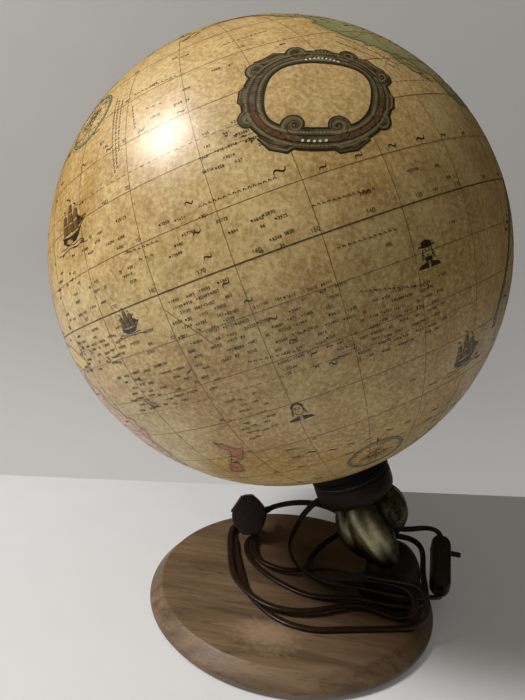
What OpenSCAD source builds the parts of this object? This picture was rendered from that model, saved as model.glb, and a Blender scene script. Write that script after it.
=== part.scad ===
// Illuminated terrestrial globe on a round wooden base.
// The origin is the middle of the base on the table, +Z is up, and the globe's axis
// lies in the XZ plane with its north end leaning towards -X. Millimetres.

/* [Globe] */
// Outer diameter of the globe
globe_d = 300; // [240:5:340]
// Wall of the plastic hemispheres
shell_t = 1.6; // [1.2:0.1:3]
// Open seam between the hemispheres at the equator
seam_gap = 0.3; // [0.2:0.1:1]
// Height of the joining strap inside the equator
strap_h = 18; // [10:1:30]
// Thickness of the joining strap
strap_t = 1.4; // [1:0.1:3]
// Lean of the axis from the vertical, in degrees
axis_tilt = 23.5; // [15:0.5:30]

/* [Neck] */
// Outer diameter of the neck ring and the cup below it
neck_d = 57; // [52:0.5:66]
// Height of the black neck ring along the axis, at its rim
ring_h = 11.5; // [9:0.5:16]
// Diameter of the spigot that passes through the south pole's opening
spigot_d = 45; // [38:0.5:48]
// Height of the cup along the axis
cup_h = 17; // [15:0.5:24]
// Thickness of the sliding washer between the cup and the neck ring
slide_t = 1; // [0.6:0.1:2]
// Running gap along the axis at each face of the turning neck
axial_gap = 0.2; // [0.1:0.05:0.3]
// Outer diameter of the bearing bush
bush_d = 16; // [14:0.5:20]
// Radial running clearance of the bush on the tube
run_gap = 0.06; // [0.02:0.01:0.1]

/* [Arm] */
// Distance of the foot's centre from the base's centre
foot_x = 75; // [60:1:80]
// Length of the arm along the axis, from the base's top to the cup
arm_l = 77; // [70:1:90]
// Outer diameter of the threaded lamp tube
tube_d = 10; // [9.5:0.1:11]
// Bore of the lamp tube
tube_bore = 7.6; // [7:0.1:8]
// Radius of the arm's core at its top
arm_top_r = 17; // [15:0.5:19]
// Radius of the arm's core at its foot
arm_foot_r = 11; // [10:0.5:13]
// Diameter of the domed foot at its flange
foot_d = 50; // [46:1:54]
// Height of the domed foot
foot_h = 37; // [34:1:42]
// Clearance round the tube, nuts and screws, as a radius
fit_gap = 0.1; // [0.05:0.05:0.2]

/* [Base] */
// Diameter of the wooden base at its widest
base_d = 212; // [200:1:240]
// Diameter of the base's flat top
base_top_d = 195; // [186:1:198]
// Height of the base's top above the table
base_h = 14; // [12:0.5:24]
// Thickness of the felt under the base
felt_t = 1.5; // [1:0.1:2.5]
// Distance of the felt's edge from the base's edge
felt_inset = 8; // [4:1:15]
// Radius of the circle of the three base screws
screw_circle_r = 16; // [14:0.5:17]
// Diameter of the base screws
screw_d = 4; // [3:0.5:4.5]

/* [Lamp] */
// Diameter of the lampholder
holder_d = 40; // [36:1:44]
// Length of the lampholder
holder_l = 52; // [48:1:60]
// Diameter of the bulb's glass
bulb_d = 60; // [45:1:70]
// Diameter of the bulb's threaded cap
cap_d = 26; // [25:0.5:27]
// Length of the bulb's glass above its cap
bulb_l = 82; // [76:1:100]

/* [Cord] */
// Width of the flat twin cord
cord_w = 4.6; // [4:0.1:5]
// Thickness of the flat twin cord
cord_t = 2.4; // [2:0.1:2.6]
// Length of the switch's body
switch_l = 45; // [42:1:50]
// Width of the switch's body
switch_w = 15; // [14:0.5:16]
// Thickness of the switch's body
switch_t = 16; // [15:0.5:17]
// Diameter of the switch's push bar
bar_d = 4; // [3:0.5:5]
// Travel of the switch's push bar
bar_travel = 7; // [5:0.5:8]
// Thickness of the plug's body
plug_t = 13; // [12:0.5:14]
// Diameter of the plug's pins
pin_d = 4; // [3.5:0.1:4.2]
// Length of the plug's pins
pin_l = 19; // [17:1:20]
// Distance between the plug's pins
pin_pitch = 19; // [18:0.5:19.5]

/* [Hidden] */
$fn = 96;

globe_r = globe_d / 2;
inner_r = globe_r - shell_t;
neck_r = neck_d / 2;
spigot_r = spigot_d / 2;
tube_r = tube_d / 2;

// Stations along the axis, measured from the base's top at the foot's centre
cup_top = arm_l + cup_h;
ring_low = cup_top + slide_t + axial_gap;
globe_c = ring_low + ring_h + sqrt(globe_r * globe_r - neck_r * neck_r);
spigot_top = globe_c - sqrt(inner_r * inner_r - spigot_r * spigot_r) + 7;
bush_top = spigot_top + 0.6;
washer_t = 1.6;
nut_h = 6;
nut_d = 19;
nut_seat = arm_l + 8;
top_washer_z = bush_top + axial_gap;
top_nut_z = top_washer_z + washer_t;
holder_z = top_nut_z + nut_h;
tube_low = 7;
tube_top = holder_z + 9;

// The cord leaves the arm through a grommet
exit_w = arm_l - 9;
exit_angle = 100;
exit_r = 24.5;
grommet_r = 4.6;
grommet_bore_r = 2.6;

// Module frames
module on_axis() {
    translate([foot_x, 0, base_h]) rotate([0, -axis_tilt, 0]) children();
}

module at_globe() {
    on_axis() translate([0, 0, globe_c]) children();
}

module ring(r_out, r_in, h) {
    difference() {
        cylinder(r = r_out, h = h);
        translate([0, 0, -1]) cylinder(r = r_in, h = h + 2);
    }
}

module hex_nut(across, h, bore_r) {
    difference() {
        cylinder(d = across / cos(30), h = h, $fn = 6);
        translate([0, 0, -1]) cylinder(r = bore_r, h = h + 2);
    }
}

// Wooden base: a disc with a bevelled, rounded edge
base_low = felt_t;
module base_profile() {
    r = base_d / 2;
    t = base_top_d / 2;
    polygon([
        [0, base_low], [r - 2, base_low], [r, base_low + 2.2], [r - 0.6, base_low + 5],
        [r - 3.4, base_h - 3], [r - 5.2, base_h - 1.2], [t, base_h], [0, base_h]
    ]);
}

module screw_places() {
    for (a = [60, 180, 300]) {
        translate([foot_x + screw_circle_r * cos(a), screw_circle_r * sin(a), 0]) children();
    }
}

screw_head_r = 4;
screw_head_h = 2.8;
screw_sink = 4.5;
screw_bite = 9;

module wooden_base() {
    color([0.45, 0.36, 0.30]) difference() {
        rotate_extrude() base_profile();
        screw_places() {
            translate([0, 0, base_low - 1]) cylinder(r = screw_head_r + 0.5, h = screw_sink + 1);
            translate([0, 0, base_low]) cylinder(r = screw_d / 2 + 0.25, h = base_h);
        }
    }
}

module base_felt() {
    color([0.16, 0.14, 0.12]) cylinder(r = base_d / 2 - felt_inset, h = felt_t);
}

module base_screws() {
    color([0.6, 0.6, 0.58]) screw_places() {
        translate([0, 0, base_low + screw_sink - screw_head_h]) {
            difference() {
                cylinder(r = screw_head_r, h = screw_head_h);
                translate([-screw_head_r - 1, -0.5, -0.1]) cube([2 * screw_head_r + 2, 1, 1.1]);
            }
        }
        translate([0, 0, base_low + screw_sink - 0.01])
            cylinder(r = screw_d / 2, h = base_h - base_low - screw_sink + screw_bite);
    }
}

// Domed foot that stands on the base and holds the leaning tube
module foot_solid() {
    r = foot_d / 2;
    translate([foot_x, 0, base_h]) rotate_extrude() polygon([
        [0, 0], [r, 0], [r, 2], [r - 1, 3], [r - 3.4, 4], [r - 4.4, 6], [r - 4.8, 10],
        [r - 5.2, 16], [r - 6.4, 22], [r - 8.6, 27], [r - 12, 32], [r - 16, foot_h - 1.4],
        [r - 20, foot_h - 0.3], [0, foot_h]
    ]);
}

module foot() {
    color([0.24, 0.20, 0.15]) difference() {
        foot_solid();
        on_axis() translate([0, 0, tube_low]) cylinder(r = tube_r + fit_gap, h = foot_h + 20);
        screw_places() translate([0, 0, base_h - 1]) cylinder(r = screw_d / 2 + fit_gap, h = screw_bite + 1.5);
    }
}

// Ornamental arm: a waisted core with five swelling leaves
// Each leaf has its direction about the axis, its reach, its tip's height and its swell
LEAVES = [[0, 21, 39, 11], [82, 16, 24, 9], [-82, 16, 24, 9], [150, 15.5, 38, 10], [-150, 15.5, 38, 10]];

module leaf(reach, tip, swell) {
    h = arm_l - tip;
    translate([reach, 0, tip]) rotate_extrude() polygon([
        [0, 0], [swell * 0.45, h * 0.03], [swell * 0.8, h * 0.13], [swell, h * 0.3],
        [swell * 0.97, h * 0.5], [swell * 0.8, h * 0.72], [swell * 0.6, h * 0.9],
        [swell * 0.5, h - 0.5], [0, h - 0.5]
    ]);
}

module arm_casting() {
    color([0.45, 0.42, 0.33]) difference() {
        on_axis() union() {
            rotate_extrude() polygon([
                [0, 16], [arm_foot_r - 1, 16], [arm_foot_r, 24], [arm_foot_r + 2, 34],
                [arm_top_r - 2, 46], [arm_top_r, 56], [arm_top_r, 66],
                [arm_top_r - 1, arm_l - 3], [arm_top_r - 1, arm_l], [0, arm_l]
            ]);
            for (l = LEAVES) rotate([0, 0, l[0]]) leaf(l[1], l[2], l[3]);
        }
        foot_solid();
        on_axis() translate([0, 0, -5]) cylinder(r = tube_r + fit_gap, h = arm_l + 10);
        on_axis() translate([0, 0, exit_w]) rotate([0, 90, exit_angle])
            cylinder(r = grommet_r + fit_gap, h = 40);
    }
}

module arm_grommet() {
    color([0.08, 0.07, 0.06]) on_axis() translate([0, 0, exit_w]) rotate([0, 90, exit_angle])
        translate([0, 0, tube_r + 1]) ring(grommet_r, grommet_bore_r, exit_r - tube_r - 1);
}

module lamp_tube() {
    color([0.62, 0.58, 0.45]) on_axis() difference() {
        translate([0, 0, tube_low]) cylinder(r = tube_r, h = tube_top - tube_low);
        translate([0, 0, tube_low - 1]) cylinder(r = tube_bore / 2, h = tube_top - tube_low + 2);
        translate([0, 0, exit_w]) rotate([0, 90, exit_angle]) cylinder(r = grommet_bore_r, h = 10);
    }
}

// Cup under the neck, rounded below and recessed above for its nut
module cup() {
    r = neck_r;
    color([0.25, 0.21, 0.17]) on_axis() difference() {
        rotate_extrude() polygon([
            [tube_r + fit_gap, arm_l], [r - 7, arm_l], [r - 4.2, arm_l + 0.8], [r - 2, arm_l + 2.4],
            [r - 0.6, arm_l + 5], [r, arm_l + 8.5], [r, cup_top], [tube_r + fit_gap, cup_top]
        ]);
        translate([0, 0, nut_seat]) cylinder(r = 13, h = cup_h);
    }
}

module cup_washer() {
    color([0.7, 0.68, 0.6]) on_axis() translate([0, 0, nut_seat]) ring(10.5, tube_r + fit_gap, washer_t);
}

module cup_nut() {
    color([0.7, 0.65, 0.45]) on_axis() translate([0, 0, nut_seat + washer_t])
        hex_nut(17, nut_h, tube_r + fit_gap);
}

module slide_washer() {
    color([0.85, 0.84, 0.8]) on_axis() translate([0, 0, cup_top]) ring(neck_r - 1, 16, slide_t);
}

// Turning neck: ring, bush and inner clamp, fixed to the lower hemisphere
neck_screw_r = 1.2;
neck_screw_circle = (neck_r + spigot_r) / 2;
clamp_low = globe_c - sqrt(inner_r * inner_r - spigot_r * spigot_r);
clamp_top = clamp_low + 6;
module neck_screw_places() {
    for (a = [30, 150, 270]) rotate([0, 0, a]) translate([neck_screw_circle, 0, 0]) children();
}

module neck_ring() {
    color([0.05, 0.05, 0.05]) on_axis() difference() {
        union() {
            difference() {
                translate([0, 0, ring_low]) cylinder(r = neck_r, h = ring_h);
                translate([0, 0, globe_c]) sphere(r = globe_r);
            }
            translate([0, 0, ring_low]) cylinder(r = spigot_r, h = spigot_top - ring_low);
        }
        translate([0, 0, ring_low - 1]) cylinder(r = bush_d / 2, h = spigot_top - ring_low + 2);
        neck_screw_places() translate([0, 0, ring_low + 4]) cylinder(r = neck_screw_r, h = ring_h);
    }
}

module neck_bush() {
    color([0.9, 0.89, 0.85]) on_axis() translate([0, 0, ring_low])
        ring(bush_d / 2, tube_r + run_gap, bush_top - ring_low);
}

module neck_clamp() {
    from = asin((spigot_r + fit_gap) / inner_r);
    to = asin((spigot_r + 8) / inner_r);
    color([0.08, 0.08, 0.08]) on_axis() difference() {
        rotate_extrude() polygon(concat(
            [[spigot_r + fit_gap, clamp_top]],
            [for (i = [0:4]) let (a = from + (to - from) * i / 4) [inner_r * sin(a), globe_c - inner_r * cos(a)]],
            [[spigot_r + 8, clamp_top]]
        ));
        neck_screw_places() translate([0, 0, clamp_low - 10]) cylinder(r = neck_screw_r + fit_gap, h = 30);
    }
}

module neck_screws() {
    color([0.62, 0.6, 0.56]) on_axis() neck_screw_places() {
        translate([0, 0, ring_low + 4]) cylinder(r = neck_screw_r, h = clamp_top - ring_low - 4);
        translate([0, 0, clamp_top]) difference() {
            cylinder(r = 2.2, h = 1.6);
            translate([-3, -0.35, 1]) cube([6, 0.7, 1]);
        }
    }
}

module top_washer() {
    color([0.7, 0.68, 0.6]) on_axis() translate([0, 0, top_washer_z]) ring(11, tube_r + fit_gap, washer_t);
}

module top_nut() {
    color([0.7, 0.65, 0.45]) on_axis() translate([0, 0, top_nut_z]) hex_nut(17, nut_h, tube_r + fit_gap);
}

// Hemispheres and the strap that joins them
module shell() {
    difference() {
        sphere(r = globe_r);
        sphere(r = inner_r);
    }
}

module lower_hemisphere() {
    color([0.62, 0.50, 0.33]) at_globe() difference() {
        shell();
        translate([0, 0, -seam_gap / 2]) cylinder(r = globe_r + 5, h = globe_r + 5);
        translate([0, 0, -globe_r - 5]) cylinder(r = spigot_r + fit_gap, h = globe_r);
        translate([0, 0, -globe_r - 5]) neck_screw_places() cylinder(r = neck_screw_r + fit_gap, h = globe_r / 2);
    }
}

module upper_hemisphere() {
    color([0.80, 0.70, 0.50]) at_globe() difference() {
        shell();
        translate([0, 0, seam_gap / 2 - globe_r - 5]) cylinder(r = globe_r + 5, h = globe_r + 5);
    }
}

module equator_strap() {
    top = asin(strap_h / 2 / inner_r);
    in_r = inner_r * cos(top) - strap_t;
    color([0.75, 0.66, 0.48]) at_globe() rotate_extrude() polygon(concat(
        [[in_r, strap_h / 2], [in_r, -strap_h / 2]],
        [for (i = [-3:3]) let (a = top * i / 3) [inner_r * cos(a), inner_r * sin(a)]]
    ));
}

// Lampholder: cap on the tube, insulating body, threaded shell and centre contact
cap_h = 12;
shell_low = holder_z + cap_h + 10;
module holder_cap() {
    r = holder_d / 2;
    color([0.10, 0.09, 0.08]) on_axis() difference() {
        translate([0, 0, holder_z]) rotate_extrude() polygon([
            [tube_r + fit_gap, 0], [r - 8, 0], [r - 4, 2], [r - 1, 6], [r - 1, cap_h], [tube_r + fit_gap, cap_h]
        ]);
        translate([0, 0, holder_z + 5]) cylinder(r = r - 6, h = cap_h);
    }
}

module holder_body() {
    r = holder_d / 2;
    color([0.12, 0.10, 0.09]) on_axis() difference() {
        translate([0, 0, holder_z + cap_h]) cylinder(r = r, h = holder_l - cap_h);
        translate([0, 0, shell_low]) cylinder(r = cap_d / 2 + 2.2, h = holder_l);
        translate([0, 0, holder_z]) cylinder(r = 3, h = holder_l);
    }
}

module holder_shell() {
    color([0.75, 0.62, 0.35]) on_axis() translate([0, 0, shell_low])
        ring(cap_d / 2 + 2.1, cap_d / 2 + 0.9, holder_z + holder_l - shell_low - 3);
}

module holder_contact() {
    color([0.75, 0.62, 0.35]) on_axis() translate([0, 0, shell_low]) {
        cylinder(r = 5, h = 1);
        cylinder(r = 3, h = 2.5);
    }
}

// Bulb: threaded cap with its foot contact, and a blown glass envelope
bulb_low = shell_low + 2.5;
cap_l = 25;
module bulb_cap() {
    r = cap_d / 2;
    color([0.75, 0.75, 0.72]) on_axis() translate([0, 0, bulb_low]) rotate_extrude() polygon([
        [0, 0], [4, 0], [5, 2], [9, 4], [r, 7], [r, cap_l], [r - 0.6, cap_l], [r - 0.6, 7.4],
        [8.6, 4.6], [4, 3], [0, 3]
    ]);
}

module bulb_glass() {
    r = bulb_d / 2;
    n = cap_d / 2 - 0.7;
    low = bulb_low + 9;
    neck = cap_l - 9 + 6;
    c = neck + bulb_l - r - 6;
    outer = concat(
        [[n, 0], [n, neck]],
        [for (i = [1:5]) let (s = i / 6) [n + (r - n) * (0.5 - 0.5 * cos(180 * s)), neck + (c - neck) * s]],
        [for (a = [0:10:90]) [r * cos(a), c + r * sin(a)]]
    );
    inner = [for (i = [len(outer) - 1:-1:0]) let (p = outer[i])
        p[1] >= c ? [p[0] * (r - 1) / r, c + (p[1] - c) * (r - 1) / r] : [p[0] - 1, p[1]]];
    color([0.92, 0.92, 0.88]) on_axis() translate([0, 0, low])
        rotate_extrude() polygon(concat(outer, inner));
}

// Round lead inside the tube, from the lampholder's contact to the grommet
module inner_lead() {
    color([0.13, 0.08, 0.05]) on_axis() {
        translate([0, 0, exit_w]) cylinder(r = 1.9, h = shell_low - exit_w);
        translate([0, 0, exit_w]) sphere(r = 1.9);
        translate([0, 0, exit_w]) rotate([0, 90, exit_angle]) cylinder(r = 1.9, h = exit_r);
    }
}

// Frames of the loose pieces, and their points in the whole object's frame
function rx(a, v) = [v[0], v[1] * cos(a) - v[2] * sin(a), v[1] * sin(a) + v[2] * cos(a)];
function ry(a, v) = [v[0] * cos(a) + v[2] * sin(a), v[1], v[2] * cos(a) - v[0] * sin(a)];
function rz(a, v) = [v[0] * cos(a) - v[1] * sin(a), v[0] * sin(a) + v[1] * cos(a), v[2]];
function unit(v) = v / norm(v);
shift = [foot_x - 75, 0, base_h - 14];
switch_at = [110, 0, 19] + shift;
switch_lean = 23.1;
switch_turn = -6.8;
plug_at = [-38, 29.8, 24] + shift;
plug_lean = -18;
plug_turn = 9.4;
plug_tip = -8;
gland_p = [13.4, plug_t / 2, 18];
gland_v = unit([0.95, 0, 0.31]);
gland_l = 4.5;
function switch_v(v) = rz(switch_turn, rx(switch_lean, v));
function plug_v(v) = rz(plug_turn, rx(plug_lean, ry(plug_tip, v)));
function axis_v(v) = ry(-axis_tilt, v);

module at_switch() {
    translate(switch_at) rotate([switch_lean, 0, switch_turn]) children();
}

module at_plug() {
    translate(plug_at) rotate([plug_lean, 0, plug_turn]) rotate([0, plug_tip, 0]) children();
}

// Where the cord's stretches start and end, and the way they point there
exit_v = axis_v([cos(exit_angle), sin(exit_angle), 0]);
exit_p = [foot_x, 0, base_h] + axis_v([0, 0, exit_w]) + exit_r * exit_v;
run_v = switch_v([0, 1, 0]);
low_p = switch_at;
high_p = switch_at + switch_l * run_v;
plug_p = plug_at + plug_v(gland_p + gland_l * gland_v);
plug_w = plug_v(gland_v);
STRAIGHT = 5;

// The loose way from the arm to the switch, lying over the base
WAY_IN = [
    [38, 35, 72], [26, 37, 68], [13, 34, 59], [3, 30, 47], [-3, 23, 35], [-4, 13, 27],
    [2, 3, 22.5], [11, -7, 22], [22, -14, 22], [36, -20, 24], [50, -24, 27], [66, -27, 28],
    [82, -26, 27], [95, -21, 25], [104.5, -13.5, 21.5]
];

// The loose way from the switch to the plug: three long loops and two passes behind the arm
WAY_OUT = [
    [114.6, 50.5, 39.7], [110.5, 56.8, 38.8], [102.5, 58.3, 37.4], [92, 53.5, 37], [76, 48, 38.5],
    [57, 46.5, 40], [38, 42, 33], [23, 35, 24], [14, 24, 17.5], [12, 11, 15.6], [18, -2, 16],
    [31, -11, 20], [58, -22, 33], [70, -25.5, 34.7], [78, -26.3, 34.8], [85.8, -28, 32],
    [89, -31.8, 25.8], [85.8, -35.6, 19.7], [77, -37.2, 17], [52, -31.5, 18.6], [36, -37.5, 18.6],
    [20, -46, 18.6], [3, -50, 18.6], [-15, -46, 18.6], [-31, -33, 18.6], [-43, -15, 18.6],
    [-54.5, 26, 18.6], [-57, 42, 18.6], [-57, 50.5, 18.6], [-53.8, 58.4, 18.6], [-46, 61.6, 18.6],
    [-38.2, 58.4, 18.6], [-35, 50.5, 18.6], [-34.5, 40, 18.6], [-36, 25, 18.6], [-29, 9, 18.6],
    [-16, -0.5, 18.6], [-1, -3, 18.6], [14, 1, 20], [30, -4, 26], [58, -24.5, 37],
    [74, -27.5, 38.5], [86, -26.5, 38], [93.5, -29, 34.5], [95.5, -37, 28], [91, -43, 20.5],
    [79, -45, 15.7], [42, -55.5, 15.6], [20, -61, 15.6], [0, -57.5, 15.6], [-17, -45, 15.6],
    [-30, -28, 15.6], [-45, 12, 15.6], [-50, 30, 15.6], [-55.8, 43, 15.6], [-57.8, 51.5, 15.6],
    [-55.2, 59.6, 15.6], [-47.4, 63, 15.6], [-39.6, 59.6, 15.6], [-37, 51.5, 15.6], [-38, 43, 15.6],
    [-41.5, 32, 15.6], [-35, 12, 15.6], [-21, -5, 15.6], [-4, -17, 15.6], [14, -25, 15.6],
    [32, -27.5, 18], [50, -28.5, 21.6], [66, -31, 22.2], [80, -30, 22.2], [91, -24, 20],
    [98.5, -12, 19.5], [99.2, 2, 20.5], [99.5, 16, 22], [101, 30, 25.5], [101.2, 39.5, 28.2],
    [97.6, 46.6, 30.2], [90.5, 48.6, 31.7], [82, 46, 33.3], [66, 39, 37], [48, 37, 44],
    [32, 39, 51], [15, 40, 55], [0, 41.5, 53.5], [-13, 43, 49.5]
];
IN_POINTS = concat(
    [exit_p, exit_p + STRAIGHT * exit_v],
    [for (p = WAY_IN) p + shift],
    [low_p - STRAIGHT * run_v, low_p]
);
OUT_POINTS = concat(
    [high_p, high_p + STRAIGHT * run_v],
    [for (p = WAY_OUT) p + shift],
    [plug_p + STRAIGHT * plug_w, plug_p]
);

// A flat twin cord swept along a way, broad side level, with eight-sided rings
function way_v(p, i, first, last) =
    i == 0 ? first : i == len(p) - 1 ? last : unit(unit(p[i + 1] - p[i]) + unit(p[i] - p[i - 1]));
function cord_ring(c, v, w, t) =
    let (s = unit(cross(v, [0, 0, 1])), n = cross(s, v), k = 1 / cos(22.5))
    [for (a = [22.5:45:359]) c + w / 2 * k * cos(a) * s + t / 2 * k * sin(a) * n];
module flat_cord(p, first, last) {
    n = len(p);
    pts = [for (i = [0:n - 1]) each cord_ring(p[i], way_v(p, i, first, last), cord_w, cord_t)];
    sides = [for (i = [0:n - 2]) for (j = [0:7]) let (a = i * 8 + j, b = i * 8 + (j + 1) % 8)
        each [[a, b, b + 8], [a, b + 8, a + 8]]];
    ends = [[7, 6, 5, 4, 3, 2, 1, 0], [for (j = [0:7]) (n - 1) * 8 + j]];
    polyhedron(points = pts, faces = concat(sides, ends), convexity = 12);
}

module cord_to_switch() {
    color([0.14, 0.09, 0.06]) flat_cord(IN_POINTS, exit_v, run_v);
}

module cord_to_plug() {
    color([0.14, 0.09, 0.06]) flat_cord(OUT_POINTS, run_v, -plug_w);
}

// In-line switch: two shells, a push bar that slides across, and two screws
bar_y = switch_l - 10;
collar_r = 3.5;
collar_w = 3;
cavity_w = collar_w + bar_travel + 0.4;
bar_gap = 0.08;
module switch_solid() {
    w = switch_w / 2;
    t = switch_t / 2;
    l = switch_l;
    intersection() {
        translate([0, 0, -t]) linear_extrude(2 * t) polygon([
            [-w * 0.55, 0], [w * 0.55, 0], [w * 0.86, 2], [w, 6], [w, l - 6], [w * 0.86, l - 2],
            [w * 0.55, l], [-w * 0.55, l], [-w * 0.86, l - 2], [-w, l - 6], [-w, 6], [-w * 0.86, 2]
        ]);
        rotate([90, 0, 90]) translate([0, 0, -w]) linear_extrude(2 * w) polygon([
            [0, -t * 0.5], [3, -t * 0.86], [8, -t], [l - 8, -t], [l - 3, -t * 0.86], [l, -t * 0.5],
            [l, t * 0.5], [l - 3, t * 0.86], [l - 8, t], [8, t], [3, t * 0.86], [0, t * 0.5]
        ]);
    }
}

module switch_hollows() {
    translate([-cavity_w / 2, bar_y - 4.5, -4.5]) cube([cavity_w, 9, 9]);
    translate([-switch_w, bar_y, 0]) rotate([0, 90, 0]) cylinder(r = bar_d / 2 + bar_gap, h = 2 * switch_w);
}

module switch_screw_places() {
    for (y = [10, 23]) translate([0, y, 0]) children();
}

module switch_lower() {
    color([0.13, 0.10, 0.09]) at_switch() difference() {
        switch_solid();
        translate([-switch_w, -1, 0]) cube([2 * switch_w, switch_l + 2, switch_t]);
        switch_hollows();
        switch_screw_places() {
            translate([0, 0, -switch_t]) cylinder(r = 1.3 + fit_gap, h = 2 * switch_t);
            translate([0, 0, -switch_t]) cylinder(r = 2.6, h = switch_t / 2 + 2);
        }
    }
}

module switch_upper() {
    color([0.15, 0.12, 0.10]) at_switch() difference() {
        switch_solid();
        translate([-switch_w, -1, -switch_t]) cube([2 * switch_w, switch_l + 2, switch_t]);
        switch_hollows();
        switch_screw_places() translate([0, 0, -1]) cylinder(r = 1.3, h = 6);
    }
}

module switch_screws() {
    color([0.6, 0.58, 0.52]) at_switch() switch_screw_places() {
        translate([0, 0, 2 - switch_t / 2]) cylinder(r = 1.3, h = switch_t / 2 + 3);
        translate([0, 0, 0.5 - switch_t / 2]) cylinder(r = 2.4, h = 1.5);
    }
}

module switch_bar() {
    l = switch_w + bar_travel + 1;
    color([0.12, 0.09, 0.08]) at_switch() translate([bar_travel / 2, bar_y, 0]) rotate([0, 90, 0]) {
        translate([0, 0, -l / 2]) cylinder(d = bar_d, h = l);
        translate([0, 0, -collar_w / 2]) cylinder(r = collar_r, h = collar_w);
    }
}

// Flat plug leaning on the cord's loops, its two pins pointing away from the front
module plug_body() {
    color([0.22, 0.17, 0.16]) at_plug() difference() {
        union() {
            rotate([90, 0, 0]) translate([0, 0, -plug_t]) linear_extrude(plug_t) polygon([
                [-7, 0], [7, 0], [12, 6], [14.4, 11], [15.2, 15], [15.2, 18], [14, 22], [10.4, 27],
                [4.5, 33], [-4.5, 33], [-10.4, 27], [-14, 22], [-15.2, 18], [-15.2, 15], [-14.4, 11], [-12, 6]
            ]);
            translate(gland_p - 4 * gland_v) rotate([0, atan2(gland_v[0], gland_v[2]), 0])
                cylinder(r = 3.2, h = gland_l + 4);
        }
        for (x = [-1, 1]) translate([x * pin_pitch / 2, plug_t, 15]) rotate([90, 0, 0])
            cylinder(d = pin_d + 0.1, h = 8);
    }
}

module plug_pins() {
    color([0.72, 0.70, 0.62]) at_plug() {
        for (x = [-1, 1]) translate([x * pin_pitch / 2, plug_t - 8, 15]) rotate([-90, 0, 0]) {
            cylinder(d = pin_d, h = pin_l + 7);
            translate([0, 0, pin_l + 7]) cylinder(d1 = pin_d, d2 = pin_d - 1.6, h = 1);
        }
    }
}

wooden_base();
base_felt();
base_screws();
foot();
arm_casting();
lamp_tube();
arm_grommet();
cup();
cup_washer();
cup_nut();
slide_washer();
neck_ring();
neck_bush();
neck_clamp();
neck_screws();
top_washer();
top_nut();
lower_hemisphere();
upper_hemisphere();
equator_strap();
holder_cap();
holder_body();
holder_shell();
holder_contact();
bulb_cap();
bulb_glass();
inner_lead();
cord_to_switch();
switch_lower();
switch_upper();
switch_screws();
switch_bar();
cord_to_plug();
plug_body();
plug_pins();
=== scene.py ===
"""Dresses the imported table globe: printed sphere, neck, cast arm, walnut base, flex, switch and plug."""
from __future__ import annotations

import logging
import math
import random
from collections.abc import Iterator
from contextlib import contextmanager
from dataclasses import dataclass, field
from enum import Enum

import bpy
import numpy as np
from mathutils import Matrix, Vector
from mathutils.kdtree import KDTree


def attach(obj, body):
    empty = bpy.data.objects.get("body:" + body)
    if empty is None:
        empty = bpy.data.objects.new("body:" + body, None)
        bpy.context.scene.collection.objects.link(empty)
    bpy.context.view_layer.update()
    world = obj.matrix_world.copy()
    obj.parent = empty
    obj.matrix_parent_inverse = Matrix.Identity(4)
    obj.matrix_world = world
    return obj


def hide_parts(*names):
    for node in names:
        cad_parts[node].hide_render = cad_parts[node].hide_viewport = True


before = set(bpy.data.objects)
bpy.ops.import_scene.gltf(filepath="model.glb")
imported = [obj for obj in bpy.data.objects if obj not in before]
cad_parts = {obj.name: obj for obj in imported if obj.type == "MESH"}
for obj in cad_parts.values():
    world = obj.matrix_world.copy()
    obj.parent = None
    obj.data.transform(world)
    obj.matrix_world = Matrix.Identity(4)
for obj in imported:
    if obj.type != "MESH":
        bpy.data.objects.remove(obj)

LOG = logging.getLogger("globe")
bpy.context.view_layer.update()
Point = tuple[float, float, float]

# Sizes and places that several pieces share, in millimetres and degrees
MM = 0.001
GLOBE_R = 150.0
TILT = 23.5
FOOT_AT = (75.0, 0.0, 14.0)
GLOBE_W = 253.974    # from the foot along the leaning axis to the sphere's middle
LON_TURN = 75.83     # how far the map is turned about its axis
FULL_TURN = 360.0
SWITCH_AT, SWITCH_YAW, SWITCH_ROLL = (110, 0, 19), -6.8, 23.1
SWITCH_LENGTH, SWITCH_WIDTH = 45.0, 15.0
PLUG_AT, PLUG_YAW, PLUG_PITCH, PLUG_ROLL = (-38, 29.8, 24), 9.4, -18, -8
GLAND_ROOT = Vector((13.4, 6.5, 18))
GLAND_WAY = Vector((0.95, 0, 0.31)).normalized()


def turn(angle: float, axis: str) -> Matrix:
    """Returns the turn by an angle in degrees about an axis."""
    return Matrix.Rotation(math.radians(angle), 4, axis)


# Frames of the leaning axis, the sphere, the foot, the switch and the plug, from millimetres to metres
TO_METRES = Matrix.Scale(MM, 4)
UPRIGHT = TO_METRES @ Matrix.Translation(FOOT_AT)
AXIS = UPRIGHT @ turn(-TILT, "Y")
SPHERE = AXIS @ Matrix.Translation((0, 0, GLOBE_W))
SWITCH = TO_METRES @ Matrix.Translation(SWITCH_AT) @ turn(SWITCH_YAW, "Z") @ turn(SWITCH_ROLL, "X")
PLUG = TO_METRES @ Matrix.Translation(PLUG_AT) @ turn(PLUG_YAW, "Z") @ turn(PLUG_PITCH, "X") @ turn(PLUG_ROLL, "Y")


class Body(Enum):
    """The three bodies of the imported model."""

    STAND = "stand"
    GLOBE = "globe"
    PUSH_BAR = "push_bar"


# ---- colours and nodes

def linear(hex_code: str) -> tuple[float, float, float, float]:
    """Turns an sRGB hex colour into linear RGBA.

    Args:
        hex_code: six hex digits, such as "c9ab74".

    Returns:
        The linear colour with alpha 1.
    """
    parts = [int(hex_code[i:i + 2], 16) / 255 for i in (0, 2, 4)]
    return tuple(c / 12.92 if c <= 0.04045 else ((c + 0.055) / 1.055) ** 2.4 for c in parts) + (1.0,)


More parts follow.
